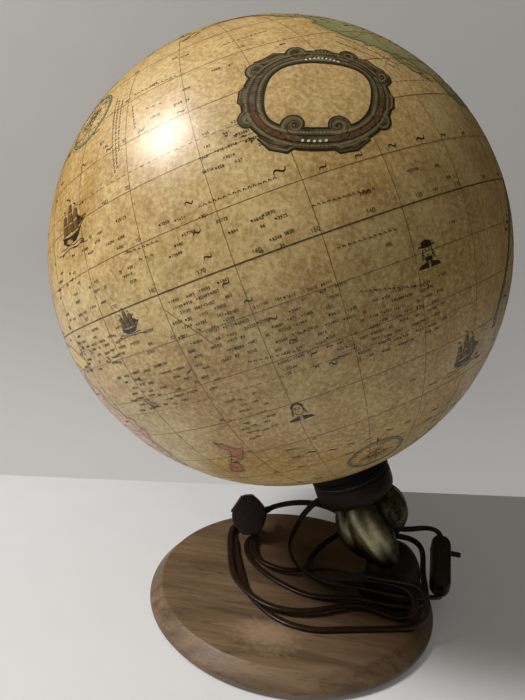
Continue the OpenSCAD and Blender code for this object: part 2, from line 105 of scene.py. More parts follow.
def put(tree: bpy.types.NodeTree, kind: str, feeds: dict | tuple = (), out: int | str = 0,
        **settings: object) -> bpy.types.NodeSocket | None:
    """Adds a node with its settings, and sets or links its inputs.

    Args:
        tree: the node tree to add to.
        kind: the node's type name, without the ShaderNode that every one begins with.
        feeds: values or output sockets for its inputs, in their order, or by input name or index.
        out: the name or index of the output that is returned.
        settings: properties of the node itself.

    Returns:
        The new node's output, or None if it has none.
    """
    node = tree.nodes.new("ShaderNode" + kind)
    for name, value in settings.items():
        setattr(node, name, value)
    for name, value in (feeds if isinstance(feeds, dict) else dict(enumerate(feeds))).items():
        if isinstance(value, bpy.types.NodeSocket):
            tree.links.new(value, node.inputs[name])
        else:
            node.inputs[name].default_value = value
    return node.outputs[out] if len(node.outputs) else None


def seen(tree: bpy.types.NodeTree, in_gloss: bool) -> bpy.types.NodeSocket:
    """Tells the rays that the camera sees by from the rays that light the scene.

    Args:
        tree: the node tree to add to.
        in_gloss: whether reflections count as seen.

    Returns:
        An output that is 1 for what is seen, straight or through glass, and 0 otherwise.
    """
    path = put(tree, "LightPath").node.outputs
    rays = path["Is Camera Ray"]
    for kind in ["Is Transmission Ray"] + ["Is Glossy Ray"] * in_gloss:
        rays = put(tree, "Math", (rays, path[kind]), operation="MAXIMUM")
    return rays


def coats(tree: bpy.types.NodeTree, base: tuple | bpy.types.NodeSocket, *layers: tuple) -> bpy.types.NodeSocket:
    """Lays tints one over the other, each as a pattern says.

    Args:
        tree: the node tree to add to.
        base: the lowest colour.
        layers: (pattern, its start, its end, tint's share at the start, share at the end, tint) of each tint.

    Returns:
        The colour on top.
    """
    for pattern, start, end, low, high, tint in layers:
        share = put(tree, "MapRange", (pattern, start, end, low, high))
        colour = linear(tint) if isinstance(tint, str) else tint
        base = put(tree, "Mix", {0: share, 6: base, 7: colour}, 2, data_type="RGBA")
    return base


@dataclass(frozen=True)
class Finish:
    """A finish: a mottled colour with grain in its roughness and bump.

    light and dark are the two ends of the colour's variation, grain_mm is the size of the mottling,
    and bump_mm is the height of the surface's texture.
    """

    name: str
    light: str
    dark: str
    rough: float = 0.45
    grain_mm: float = 4.0
    bump_mm: float = 0.02
    metallic: float = 0.0
    ior: float = 1.5
    coat: float = 0.0
    contrast: float = 1.0
    coat_rough: float = 0.24

    def build(self) -> bpy.types.Material:
        """Returns the finish's material, made once."""
        found = bpy.data.materials.get(self.name)
        if found:
            return found
        mat = bpy.data.materials.new(self.name)
        mat.use_nodes = True
        tree = mat.node_tree
        tree.nodes.clear()
        values = {"Roughness": self.rough, "Metallic": self.metallic}
        if not self.metallic:
            values["IOR"] = self.ior
        if self.coat:
            values |= {"Coat Weight": self.coat, "Coat Roughness": self.coat_rough}
        shader = put(tree, "BsdfPrincipled", values)
        for name, pattern in self.patterns(tree).items():
            tree.links.new(pattern, shader.node.inputs[name])
        put(tree, "OutputMaterial", {"Surface": self.surface(tree, shader)})
        return mat

    def patterns(self, tree: bpy.types.NodeTree) -> dict[str, bpy.types.NodeSocket]:
        """Makes the mottled colour, the roughness and the bump.

        Args:
            tree: the material's node tree.

        Returns:
            The shader's input names and the patterns that feed them.
        """
        where = put(tree, "TexCoord", out="Object")
        big = put(tree, "TexNoise", {"Vector": where, "Scale": 1000 / self.grain_mm, "Detail": 5.0,
                                     "Roughness": 0.6})
        # Six times as fine as the mottling, which is as fine as the render still shows
        fine = put(tree, "TexNoise", {"Vector": where, "Scale": 6000 / self.grain_mm, "Detail": 2.0})
        half = 0.28 / self.contrast
        height = put(tree, "Math", (big, fine), operation="ADD")
        return {
            "Base Color": coats(tree, linear(self.dark), (big, 0.5 - half, 0.5 + half, 0.0, 1.0, self.light)),
            "Roughness": put(tree, "MapRange", (fine, 0.3, 0.7, max(0.03, self.rough - 0.08),
                                                min(1.0, self.rough + 0.1))),
            "Normal": put(tree, "Bump", {"Height": height, "Strength": 0.5, "Distance": self.bump_mm * MM})}

    def surface(self, tree: bpy.types.NodeTree, shader: bpy.types.NodeSocket) -> bpy.types.NodeSocket:
        """Returns what the material shows, which is its shader as it is."""
        return shader


@dataclass(frozen=True)
class StageFinish(Finish):
    """Matt paint on the table or the wall, which the camera sees a little brighter, by glow.

    A backdrop is seen from its front only; up to foot_height metres its glow rises towards its foot by the foot
    factor, as painted light bounced up from the table.
    """

    glow: float = 0.1
    backdrop: bool = False
    foot_glow: float = 1.0
    foot_height: float = 0.26

    def surface(self, tree: bpy.types.NodeTree, shader: bpy.types.NodeSocket) -> bpy.types.NodeSocket:
        """Adds the brightness that lights nothing, and makes a backdrop clear from behind.

        Args:
            tree: the material's node tree.
            shader: the paint.

        Returns:
            The paint with its glow.
        """
        rays = seen(tree, in_gloss=not self.backdrop)
        amount = put(tree, "Math", (rays, self.glow), operation="MULTIPLY")
        # Painted bounce light: the backdrop glows more towards its foot, as if lit from the table
        if self.foot_glow != 1:
            high = put(tree, "SeparateXYZ", (put(tree, "TexCoord", out="Object"),), 1)
            bounce_at_foot = put(tree, "MapRange", (high, 0.0, self.foot_height, self.foot_glow, 1.0),
                       interpolation_type="SMOOTHSTEP")
            amount = put(tree, "Math", (amount, bounce_at_foot), operation="MULTIPLY")
        light = put(tree, "Emission", {"Color": linear(self.light), "Strength": amount})
        both = put(tree, "AddShader", (shader, light))
        if not self.backdrop:
            return both
        behind = put(tree, "NewGeometry", out="Backfacing")
        front = put(tree, "Math", (rays, behind), operation="SUBTRACT", use_clamp=True)
        return put(tree, "MixShader", (front, put(tree, "BsdfTransparent"), both))


@dataclass(frozen=True)
class WalnutFinish(Finish):
    """Oiled walnut veneer, its grain running across the front, worn pale on top."""

    def patterns(self, tree: bpy.types.NodeTree) -> dict[str, bpy.types.NodeSocket]:
        """Makes the long grain, the pores and a pale worn patch.

        Args:
            tree: the material's node tree.

        Returns:
            The shader's input names and the patterns that feed them.
        """
        where = put(tree, "TexCoord", out="Object")
        # Bands 9 mm and pores 1 mm across, eleven times as long, that wander by a few millimetres
        along = put(tree, "Mapping", {"Vector": where, "Rotation": (0, 0, math.radians(-6)),
                                      "Scale": (0.09, 1.0, 1.0)})
        warp = put(tree, "TexNoise", {"Vector": along, "Scale": 60.0, "Detail": 3.0}, 1)
        bent = put(tree, "VectorMath", (warp, (0.012, 0.012, 0.0)), operation="MULTIPLY")
        moved = put(tree, "VectorMath", (along, bent), operation="ADD")
        bands = put(tree, "TexNoise", {"Vector": moved, "Scale": 110.0, "Detail": 6.0, "Roughness": 0.62})
        pores = put(tree, "TexNoise", {"Vector": moved, "Scale": 900.0, "Detail": 2.0})
        broad = put(tree, "TexNoise", {"Vector": where, "Scale": 14.0, "Detail": 2.0})
        # The pale worn patch near the front, about 50 mm across, with a ragged edge
        patch = put(tree, "Mapping", {"Vector": where, "Location": (0.0101, 0.1248, 0.0),
                                      "Scale": (1.35, 1.75, 0.2)})
        far = put(tree, "VectorMath", (patch,), "Value", operation="LENGTH")
        ragged = put(tree, "TexNoise", {"Vector": where, "Scale": 260.0, "Detail": 6.0})
        edge = put(tree, "Math", (ragged, 0.045, far), operation="MULTIPLY_ADD")
        height = put(tree, "Math", (bands, pores), operation="SUBTRACT")
        return {
            "Base Color": coats(tree, linear(self.dark), (bands, 0.34, 0.68, 0.0, 1.0, self.light),
                                (pores, 0.56, 0.7, 0.0, 0.55, "3a2a20"), (broad, 0.35, 0.7, 0.0, 0.3, "6b543f"),
                                (edge, 0.056, 0.032, 0.0, 0.45, "b09a80")),
            "Roughness": put(tree, "MapRange", (bands, 0.3, 0.7, 0.42, 0.58)),
            "Normal": put(tree, "Bump", {"Height": height, "Strength": 0.35, "Distance": 0.12 * MM})}


@dataclass(frozen=True)
class AgedBrassFinish(Finish):
    """Cast brass darkened by age, rubbed bright on its crests, with painted light on its front, pitted where plating
    went.
    """

    def patterns(self, tree: bpy.types.NodeTree) -> dict[str, bpy.types.NodeSocket]:
        """Makes the dark patina, the rubbed high places with painted light on the front side, and the pits.

        Args:
            tree: the material's node tree.

        Returns:
            The shader's input names and the patterns that feed them.
        """
        where = put(tree, "TexCoord", out="Object")
        # Clouds of 11 mm, and pits every 2.4 mm
        cloud = put(tree, "TexNoise", {"Vector": where, "Scale": 90.0, "Detail": 6.0, "Roughness": 0.65})
        pits = put(tree, "TexVoronoi", {"Vector": where, "Scale": 420.0}, "Distance")
        # The height attribute holds rubbed crests, and painted light on the side towards the front
        height = put(tree, "Attribute", out="Fac", attribute_name="height")
        mixed = put(tree, "Math", (cloud, 0.9, height), operation="MULTIPLY_ADD")
        return {
            "Base Color": coats(tree, linear(self.dark), (mixed, 0.78, 1.3, 0.0, 1.0, self.light),
                                (pits, 0.05, 0.16, 0.75, 0.0, "2a2418")),
            "Roughness": put(tree, "MapRange", (mixed, 0.6, 1.3, 0.5, 0.27)),
            "Normal": put(tree, "Bump", {"Height": cloud, "Strength": 0.5, "Distance": 0.5 * MM})}


@dataclass(frozen=True)
class MapFinish(Finish):
    """Varnished antique-style print: mottled parchment, with washes of colour inside the coasts."""

    def patterns(self, tree: bpy.types.NodeTree) -> dict[str, bpy.types.NodeSocket]:
        """Makes parchment mottling, creases, the wash inside coasts and the shade outside them.

        Args:
            tree: the material's node tree.

        Returns:
            The shader's input names and the patterns that feed them.
        """
        where = put(tree, "TexCoord", out="Object")
        # Stains of 60 mm, mottling of 14 mm and flecks of 2 mm
        big, mid, fleck = (put(tree, "TexNoise", {"Vector": where, "Scale": scale, "Detail": 5.0,
                                                  "Roughness": rough, "Distortion": bend})
                           for scale, rough, bend in ((16.0, 0.62, 0.4), (70.0, 0.68, 0.0), (480.0, 0.7, 0.0)))
        # Creases like old vellum: the thin walls between large uneven cells
        drift = put(tree, "TexNoise", {"Vector": where, "Scale": 22.0, "Detail": 4.0}, 1)
        uneven = put(tree, "Mix", {0: 0.06, 4: where, 5: drift}, 1, data_type="VECTOR")
        cells = put(tree, "TexVoronoi", {"Vector": uneven, "Scale": 17.0}, feature="DISTANCE_TO_EDGE")
        # land is the distance inland from the coast in millimetres, below zero in the sea
        land = put(tree, "Attribute", out="Fac", attribute_name="land")
        wash = put(tree, "Attribute", out="Color", attribute_name="wash")
        inside = put(tree, "MapRange", (land, -0.6, 0.6))
        deep = put(tree, "MapRange", (land, 0.0, 14.0, 0.95, 0.55))
        blot = put(tree, "MapRange", (mid, 0.35, 0.65, 0.75, 1.0))
        painted = put(tree, "Math", (inside, put(tree, "Math", (deep, blot), operation="MULTIPLY")),
                      operation="MULTIPLY")
        outside = put(tree, "Math", (1.0, inside), operation="SUBTRACT")
        shore = put(tree, "MapRange", (land, -4.5, 0.0, 0.0, 0.3))
        shaded = put(tree, "Math", (shore, outside), operation="MULTIPLY")
        return {
            "Base Color": coats(
                tree, linear(self.dark), (big, 0.34, 0.66, 0.0, 1.0, self.light),
                (mid, 0.46, 0.68, 0.0, 0.6, "a5824a"), (fleck, 0.49, 0.66, 0.0, 0.55, "efdcae"),
                (fleck, 0.5, 0.34, 0.0, 0.55, "966f38"), (cells, 0.0, 0.022, 0.24, 0.0, "8c6c3c"),
                (painted, 0.0, 1.0, 0.0, 1.0, wash), (shaded, 0.0, 1.0, 0.0, 1.0, "94784c")),
            "Roughness": put(tree, "MapRange", (mid, 0.3, 0.7, self.rough - 0.03, self.rough + 0.05)),
            "Normal": put(tree, "Bump", {"Height": mid, "Strength": 0.12, "Distance": 0.1 * MM})}


# Finishes, each named for what the surface is made of, with what that gives the eye
# Printed paper under satin varnish: a broad soft highlight over brown stains
PARCHMENT = MapFinish("varnished_parchment_print", "e2c68a", "bb9552", rough=0.42, coat=0.25)
# Oiled veneer: long grey-brown grain, hardly any gloss
WALNUT = WalnutFinish("oiled_walnut_veneer", "8a7359", "5c4a3a")
# Cast brass with patina: dark hollows, pale rubbed crests that catch the light, and painted light on its front side
AGED_BRASS = AgedBrassFinish("aged_cast_brass", "989172", "231f15", metallic=1.0, rough=0.34)
# Dark brown enamel on spun and on cast metal: low gloss, the casting rougher
BRONZED = Finish("bronzed_enamel", "2c1b12", "140c07", rough=0.45, grain_mm=7.0, bump_mm=0.03, ior=1.26)
FOOT_IRON = Finish("bronzed_cast_iron", "271c16", "130c08", rough=0.5, grain_mm=6.0, bump_mm=0.08, ior=1.36)
# Moulded plastics: even and dull, black on the neck, brown on cord and plug
NECK_BLACK = Finish("black_moulded_abs", "070708", "040404", rough=0.5, grain_mm=5.0, ior=1.2)
FLEX_PVC = Finish("brown_pvc_flex", "37241d", "1d120e", rough=0.36, grain_mm=5.0, ior=1.42)
SWITCH_PVC = Finish("dark_moulded_urea", "28231c", "17130f", rough=0.45, bump_mm=0.01, ior=1.38)
PLUG_PVC = Finish("brown_moulded_pvc", "413437", "261e1f", rough=0.48, bump_mm=0.01, ior=1.38)
# Rubber and wool: soft, without a highlight
RUBBER = Finish("black_grommet_rubber", "1d1b19", "121110", rough=0.6, grain_mm=3.0)
FELT = Finish("black_wool_felt", "2a2622", "161412", rough=0.95, grain_mm=1.2, bump_mm=0.2)
# Plated and turned metals: clean, with fine tool marks
ZINC = Finish("zinc_plated_steel", "c4c2bc", "8f8d87", rough=0.32, grain_mm=3.0, metallic=1.0)
BRASS = Finish("turned_brass", "c9a95e", "9a7c3e", rough=0.26, grain_mm=5.0, metallic=1.0)
NICKEL = Finish("nickel_plated_brass", "cfcabc", "a39c8a", rough=0.22, metallic=1.0)
CAP_ALUMINIUM = Finish("rolled_aluminium", "d3d2cd", "a5a39d", rough=0.3, grain_mm=3.0, metallic=1.0)
# Plastics and glass inside the sphere, as they look when it is open
NYLON = Finish("black_nylon", "1b1a19", "111010", rough=0.5, grain_mm=6.0, ior=1.53)
CREAM_STYRENE = Finish("cream_styrene", "dccba0", "c7b384", rough=0.5, grain_mm=8.0, ior=1.59)
PHENOLIC = Finish("brown_black_phenolic", "2b221d", "191310", rough=0.3, grain_mm=6.0, ior=1.6, coat=0.3)
OPAL_GLASS = Finish("opal_blown_glass", "f2efe4", "e4dfd0", rough=0.25, grain_mm=20.0)


def ink(name: str, light: str, dark: str, grain_mm: float = 2.0, contrast: float = 1.0) -> Finish:
    """Returns a printing ink: a thin film, a little glossier than the paper and uneven in its strength."""
    return Finish(name, light, dark, rough=0.34, grain_mm=grain_mm, bump_mm=0.005, contrast=contrast)


INK_BROWN = ink("brown_line_ink", "8a6a3c", "6b4e28")
INK_BLACK = ink("black_brown_ink", "3c2f22", "241b12")
SCROLL_DARK = ink("dark_ornament_print", "241d10", "140f08")
SCROLL_BRONZE = ink("bronze_green_ornament_print", "6e6242", "352c18", 6.0, 1.8)
SCROLL_PALE = ink("pale_bronze_ornament_print", "94875c", "665a38", 5.0)
SCROLL_RED = ink("red_brown_ornament_print", "7d452c", "55301f")
PRINT_WHITE = ink("white_print", "f3ead2", "dccfae")
PRINT_GREEN = ink("grey_green_print", "8d9a80", "66735c")
PRINT_TEAL = ink("blue_green_print", "3f7672", "24504e", 3.0)


# ---- modelling helpers

def deselect() -> None:
    """Leaves edit mode and deselects every object."""
    if bpy.context.object and bpy.context.object.mode != "OBJECT":
        bpy.ops.object.mode_set(mode="OBJECT")
    bpy.ops.object.select_all(action="DESELECT")


def pick(main: bpy.types.Object, *others: bpy.types.Object) -> None:
    """Selects these objects alone, and makes the first one active."""
    deselect()
    for obj in (main, *others):
        obj.select_set(True)
    bpy.context.view_layer.objects.active = main


@contextmanager
def editing(everything: bool = True) -> Iterator[None]:
    """Works on the active mesh in edit mode.

    Args:
        everything: whether all of the mesh is selected first.

    Yields:
        Nothing.
    """
    bpy.ops.object.mode_set(mode="EDIT")
    if everything:
        bpy.ops.mesh.select_all(action="SELECT")
    yield
    bpy.ops.object.mode_set(mode="OBJECT")


def modify(obj: bpy.types.Object, kind: str, **settings: object) -> None:
    """Adds one modifier to an object and applies it.

    Args:
        obj: the object.
        kind: the modifier's type.
        settings: the modifier's properties.
    """
    pick(obj)
    modifier = obj.modifiers.new(kind.lower(), kind)
    for name, value in settings.items():
        setattr(modifier, name, value)
    bpy.ops.object.modifier_apply(modifier=modifier.name)


def from_points(name: str, spots: np.ndarray, faces: list[tuple[int, ...]]) -> bpy.types.Object:
    """Makes a mesh of points and faces, and makes it active.

    Args:
        name: the piece's name.
        spots: its points, one a row.
        faces: the rows' numbers round each face.

    Returns:
        The new object.
    """
    mesh = bpy.data.meshes.new(name)
    mesh.from_pydata(spots.tolist(), [], faces)
    obj = bpy.data.objects.new(name, mesh)
    bpy.context.scene.collection.objects.link(obj)
    pick(obj)
    return obj


def finish_piece(obj: bpy.types.Object, finish: Finish, body: Body, replaces: tuple[str, ...] = (),
                 place: Matrix = TO_METRES, angle: float = 35.0) -> bpy.types.Object:
    """Places a piece modelled in millimetres, shades it, and fixes it to its body.

    Args:
        obj: the piece, whose own place and turn are applied first.
        finish: its finish.
        body: the body that it rides on.
        replaces: the CAD nodes that it stands for.
        place: the matrix from its own millimetre frame to the object's frame in metres.
        angle: the largest edge angle that is shaded smooth, in degrees.

    Returns:
        The same piece.
    """
    pick(obj)
    obj.data.transform(place @ obj.matrix_world)
    obj.matrix_world = Matrix.Identity(4)
    bpy.ops.object.shade_smooth_by_angle(angle=math.radians(angle))
    obj.data.materials.clear()
    obj.data.materials.append(finish.build())
    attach(obj, body.value)
    if replaces:
        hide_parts(*replaces)
    LOG.info("%s: %d faces on %s", obj.name, len(obj.data.polygons), body.value)
    return obj


def turned(name: str, profile: list[tuple[float, float]], steps: int = 128) -> bpy.types.Object:
    """Turns an outline round Z: a ring is extruded and scaled from point to point of the outline.

    Args:
        name: the piece's name.
        profile: (radius, height) points in millimetres; if the last is the first, it closes on itself.
        steps: the number of points round.

    Returns:
        The turned piece, closed, with its faces outwards.
    """
    deselect()
    radius, height = profile[0]
    bpy.ops.mesh.primitive_circle_add(vertices=steps, radius=radius, location=(0, 0, height))
    obj = bpy.context.object
    obj.name = obj.data.name = name
    bpy.ops.object.transform_apply()
    with editing():
        for (r0, z0), (r1, z1) in zip(profile, profile[1:]):
            bpy.ops.mesh.extrude_region_move(TRANSFORM_OT_translate={"value": (0, 0, z1 - z0)})
            bpy.ops.transform.resize(value=(r1 / r0, r1 / r0, 1), center_override=(0, 0, z1))
        bpy.ops.mesh.select_all(action="SELECT")
        bpy.ops.mesh.remove_doubles(threshold=0.001)
        bpy.ops.mesh.fill_holes(sides=0)
        bpy.ops.mesh.select_all(action="SELECT")
        bpy.ops.mesh.normals_make_consistent(inside=False)
    return obj


def rounded(points: list[tuple[float, float]], radii: dict[int, float], bits: int = 4) -> list[tuple[float, float]]:
    """Rounds chosen corners of an outline.

    Args:
        points: the outline's corners.
        radii: corner index to the distance from the corner at which its curve starts.
        bits: the number of steps in each curve.

    Returns:
        The outline with the curves in it.
    """
    out: list[tuple[float, float]] = []
    for i, p in enumerate(points):
        if i not in radii:
            out.append(p)
            continue
        here, back, on = Vector(p), Vector(points[i - 1]), Vector(points[(i + 1) % len(points)])
        a = here + (back - here).normalized() * radii[i]
        b = here + (on - here).normalized() * radii[i]
        for k in range(bits + 1):
            t = k / bits
            q = a * (1 - t) ** 2 + here * (2 * t * (1 - t)) + b * t * t
            out.append((q.x, q.y))
    return out


def smooth_route(points: list[Point], step: float, passes: int) -> np.ndarray:
    """Draws one smooth curve through a cord's points and evens its spacing.

    Args:
        points: the points, in millimetres; the first two and the last two fix the ends' direction.
        step: the spacing of the result, in millimetres.
        passes: how many times the curve's inner points are relaxed.

    Returns:
        The curve's points.
    """
    p = np.array(points, float)
    q = np.vstack([2 * p[0] - p[1], p, 2 * p[-1] - p[-2]])
    t = (np.arange(16) / 16)[:, None]
    out = [0.5 * (2 * b + (c - a) * t + (2 * a - 5 * b + 4 * c - d) * t ** 2 + (3 * b - a - 3 * c + d) * t ** 3)
           for a, b, c, d in zip(q, q[1:], q[2:], q[3:])]
    line = np.vstack(out + [p[-1:]])
    for _ in range(2):
        run = np.concatenate([[0], np.cumsum(np.linalg.norm(np.diff(line, axis=0), axis=1))])
        count = max(8, round(run[-1] / step))
        at = np.linspace(0, run[-1], count + 1)
        line = np.stack([np.interp(at, run, line[:, k]) for k in range(3)], axis=1)
        for _ in range(passes):
            line[3:-3] = line[3:-3] * 0.5 + (line[2:-4] + line[4:-2]) * 0.25
    return line


def unit(rows: np.ndarray) -> np.ndarray:
    """Returns rows of vectors brought to a length of one."""
    return rows / (np.linalg.norm(rows, axis=1)[:, None] + 1e-12)


# ---- sub-assemblies

@dataclass
class Studio:
    """Camera, lights, pale table and wall."""

    focal_px: float = 533.96
    frame_px: float = 700.0
    sensor_mm: float = 36.0
    place: Point = (0.025334, -0.376461, 0.251613)
    right: Point = (0.98437, 0.16443, 0.06311)
    up: Point = (-0.08932, 0.15725, 0.98351)
    back: Point = (0.15179, -0.97377, 0.16948)
    wall_line: tuple[Vector, Vector] = (Vector((-0.334, 0.124, 0.0)), Vector((0.28, 0.253, 0.0)))
    wide: float = 6.0
    aim: Point = (0, 0, 0.2)

    def camera(self) -> None:
        """Puts the camera where the view was taken from."""
        data = bpy.data.cameras.new("camera")
        data.sensor_fit = "AUTO"
        data.sensor_width = self.sensor_mm
        data.lens = self.focal_px * self.sensor_mm / self.frame_px
        data.clip_start = 0.01
        cam = bpy.data.objects.new("camera", data)
        bpy.context.scene.collection.objects.link(cam)
        facing = Matrix((self.right, self.up, self.back)).transposed()
        cam.matrix_world = Matrix.Translation(self.place) @ facing.to_4x4()
        bpy.context.scene.camera = cam

    def lamp(self, name: str, at: Point, size: float, watts: float, colour: str) -> None:
        """Adds one square soft lamp that faces the globe.

        Args:
            name: the lamp's name.
            at: its place in metres.
            size: the length of its side in metres.
            watts: its power.
            colour: its colour.
        """
        data = bpy.data.lights.new(name, "AREA")
        data.shape, data.size, data.energy = "SQUARE", size, watts
        data.color = linear(colour)[:3]
        obj = bpy.data.objects.new(name, data)
        bpy.context.scene.collection.objects.link(obj)
        obj.location = at
        obj.rotation_mode = "QUATERNION"
        obj.rotation_quaternion = (Vector(self.aim) - Vector(at)).to_track_quat("-Z", "Y")

    def plane(self, name: str, finish: StageFinish, at: Point, facing: Point, cuts: int = 0) -> None:
        """Adds one large painted plane of the stage.

        Args:
            name: its name.
            finish: its paint.
            at: its middle, in metres.
            facing: its turns about X, Y and Z, in radians.
            cuts: how many times it is cut each way.
        """
        deselect()
        bpy.ops.mesh.primitive_plane_add(size=self.wide, location=at, rotation=facing)
        obj = bpy.context.object
        obj.name = name
        if cuts:
            with editing():
                bpy.ops.mesh.subdivide(number_cuts=cuts)
        obj.data.materials.append(finish.build())

    def surround(self) -> None:
        """Adds the white table, the grey wall behind it, and a dim even world."""
        paint = StageFinish("white_painted_table", "e6ebf2", "dfe3e9", rough=0.6, grain_mm=300.0, glow=0.085)
        self.plane("pale_table", paint, (0, 0, 0), (0, 0, 0), cuts=24)
        start, end = self.wall_line
        along = math.atan2(end.y - start.y, end.x - start.x)
        paint = StageFinish("grey_painted_wall", "8e8d8b", "878684", rough=0.7, grain_mm=400.0, glow=0.66,
                            backdrop=True, foot_glow=1.95)
        self.plane("grey_painted_wall", paint, (start + end) / 2, (math.pi / 2, 0, along))
        world = bpy.data.worlds.new("room")
        bpy.context.scene.world = world
        world.use_nodes = True
        tree = world.node_tree
        tree.nodes.clear()
        room = put(tree, "Background", {"Color": linear("e8cfa0"), "Strength": 0.06})
        view = put(tree, "Background", {"Color": linear("b4b2ae"), "Strength": 0.8})
        mixed = put(tree, "MixShader", (seen(tree, in_gloss=False), room, view))
        put(tree, "OutputWorld", {"Surface": mixed})

    def build(self) -> None:
        """Makes the whole studio."""
        self.camera()
        self.surround()
        self.lamp("window_lamp", (-1.02, -0.55, 1.31), 0.42, 24.5, "fffaf2")
        self.lamp("room_lamp", (0.1, -0.45, 2.1), 1.6, 3.0, "fff2de")
        bpy.context.scene.view_settings.view_transform = "Standard"


@dataclass
class Flex:
    """The flat twin cord: from the arm to the switch, and from the switch to the plug."""

    width: float = 4.6
    thick: float = 2.4
    step: float = 1.7
    passes: int = 6
    straight: float = 5.0
    exit_height: float = 68.0
    exit_reach: float = 24.5
    exit_turn: float = 100.0
    gland_end: float = 4.5
    way_in: list[Point] = field(default_factory=lambda: [
        (38, 35, 72), (26, 37, 68), (13, 34, 59), (3, 30, 47), (-3, 23, 35), (-4, 13, 27), (2, 3, 22.5),
        (11, -7, 22), (22, -14, 22), (36, -20, 24), (50, -24, 27), (66, -27, 28), (82, -26, 27), (95, -21, 25),
        (104.5, -13.5, 21.5)])
    way_out: list[Point] = field(default_factory=lambda: [
        (114.6, 50.5, 39.7), (110.5, 56.8, 38.8), (102.5, 58.3, 37.4), (92, 53.5, 37), (76, 48, 38.5),
        (57, 46.5, 40), (38, 42, 33), (23, 35, 24), (14, 24, 17.5), (12, 11, 15.6), (18, -2, 16), (31, -11, 20),
        (58, -22, 33), (70, -25.5, 34.7), (78, -26.3, 34.8), (85.8, -28, 32), (89, -31.8, 25.8),
        (85.8, -35.6, 19.7), (77, -37.2, 17), (52, -31.5, 18.6), (36, -37.5, 18.6), (20, -46, 18.6), (3, -50, 18.6),
        (-15, -46, 18.6), (-31, -33, 18.6), (-43, -15, 18.6), (-54.5, 26, 18.6), (-57, 42, 18.6), (-57, 50.5, 18.6),
        (-53.8, 58.4, 18.6), (-46, 61.6, 18.6), (-38.2, 58.4, 18.6), (-35, 50.5, 18.6), (-34.5, 40, 18.6),
        (-36, 25, 18.6), (-29, 9, 18.6), (-16, -0.5, 18.6), (-1, -3, 18.6), (14, 1, 20), (30, -4, 26),
        (58, -24.5, 37), (74, -27.5, 38.5), (86, -26.5, 38), (93.5, -29, 34.5), (95.5, -37, 28), (91, -43, 20.5),
        (79, -45, 15.7), (42, -55.5, 15.6), (20, -61, 15.6), (0, -57.5, 15.6), (-17, -45, 15.6), (-30, -28, 15.6),
        (-45, 12, 15.6), (-50, 30, 15.6), (-55.8, 43, 15.6), (-57.8, 51.5, 15.6), (-55.2, 59.6, 15.6),
        (-47.4, 63, 15.6), (-39.6, 59.6, 15.6), (-37, 51.5, 15.6), (-38, 43, 15.6), (-41.5, 32, 15.6),
        (-35, 12, 15.6), (-21, -5, 15.6), (-4, -17, 15.6), (14, -25, 15.6), (32, -27.5, 18), (50, -28.5, 21.6),
        (66, -31, 22.2), (80, -30, 22.2), (91, -24, 20), (98.5, -12, 19.5), (99.2, 2, 20.5), (99.5, 16, 22),
        (101, 30, 25.5), (101.2, 39.5, 28.2), (97.6, 46.6, 30.2), (90.5, 48.6, 31.7), (82, 46, 33.3), (66, 39, 37),
        (48, 37, 44), (32, 39, 51), (15, 40, 55), (0, 41.5, 53.5), (-13, 43, 49.5)])

    def ends(self) -> dict[str, np.ndarray]:
        """Returns where each stretch starts and ends, and which way it points there, in millimetres."""
        to_mm = Matrix.Scale(1 / MM, 4)
        angle = math.radians(self.exit_turn)
        out = Vector((math.cos(angle), math.sin(angle), 0))
        spots = {
            "exit": to_mm @ AXIS @ (Vector((0, 0, self.exit_height)) + out * self.exit_reach),
            "exit_v": (AXIS.to_3x3() @ out).normalized(),
            "low": to_mm @ SWITCH @ Vector((0, 0, 0)),
            "high": to_mm @ SWITCH @ Vector((0, SWITCH_LENGTH, 0)),
            "run": (SWITCH.to_3x3() @ Vector((0, 1, 0))).normalized(),
            "plug": to_mm @ PLUG @ (GLAND_ROOT + GLAND_WAY * self.gland_end),
            "plug_v": (PLUG.to_3x3() @ GLAND_WAY).normalized(),
        }
        return {name: np.array(value) for name, value in spots.items()}

    def section(self) -> np.ndarray:
        """Returns the outline of two round cores side by side, in millimetres."""
        core = self.thick / 2
        apart = self.width / 2 - core
        half = [(apart + core * math.cos(math.radians(a)), core * math.sin(math.radians(a)))
                for a in range(-120, 121, 30)]
        return np.array(half + [(-x, -y) for x, y in half])

    def tube(self, name: str, line: np.ndarray, rolls: list[tuple[float, float]]) -> bpy.types.Object:
        """Sweeps the cord's section along a curve.

        Args:
            name: the piece's name.
            line: the curve's points in millimetres.
            rolls: (share of the length, degrees) of roll from broad side level.

        Returns:
            The closed tube.
        """
        along = np.gradient(line, axis=0)
        along /= np.linalg.norm(along, axis=1)[:, None]
        side = np.cross(along, (0, 0, 1.0))
        side /= np.linalg.norm(side, axis=1)[:, None]
        up = np.cross(side, along)
        share = np.linspace(0, 1, len(line))
        roll = np.radians(np.interp(share, [r[0] for r in rolls], [r[1] for r in rolls]))[:, None]
        side, up = side * np.cos(roll) + up * np.sin(roll), up * np.cos(roll) - side * np.sin(roll)
        shape = self.section()
        count = len(shape)
        verts = (line[:, None] + shape[None, :, :1] * side[:, None] + shape[None, :, 1:] * up[:, None]).reshape(-1, 3)
        faces = [(i * count + j, i * count + (j + 1) % count, (i + 1) * count + (j + 1) % count, (i + 1) * count + j)
                 for i in range(len(line) - 1) for j in range(count)]
        faces += [tuple(range(count))[::-1], tuple((len(line) - 1) * count + j for j in range(count))]
        obj = from_points(name, verts, faces)
        with editing():
            bpy.ops.mesh.normals_make_consistent(inside=False)
        return obj

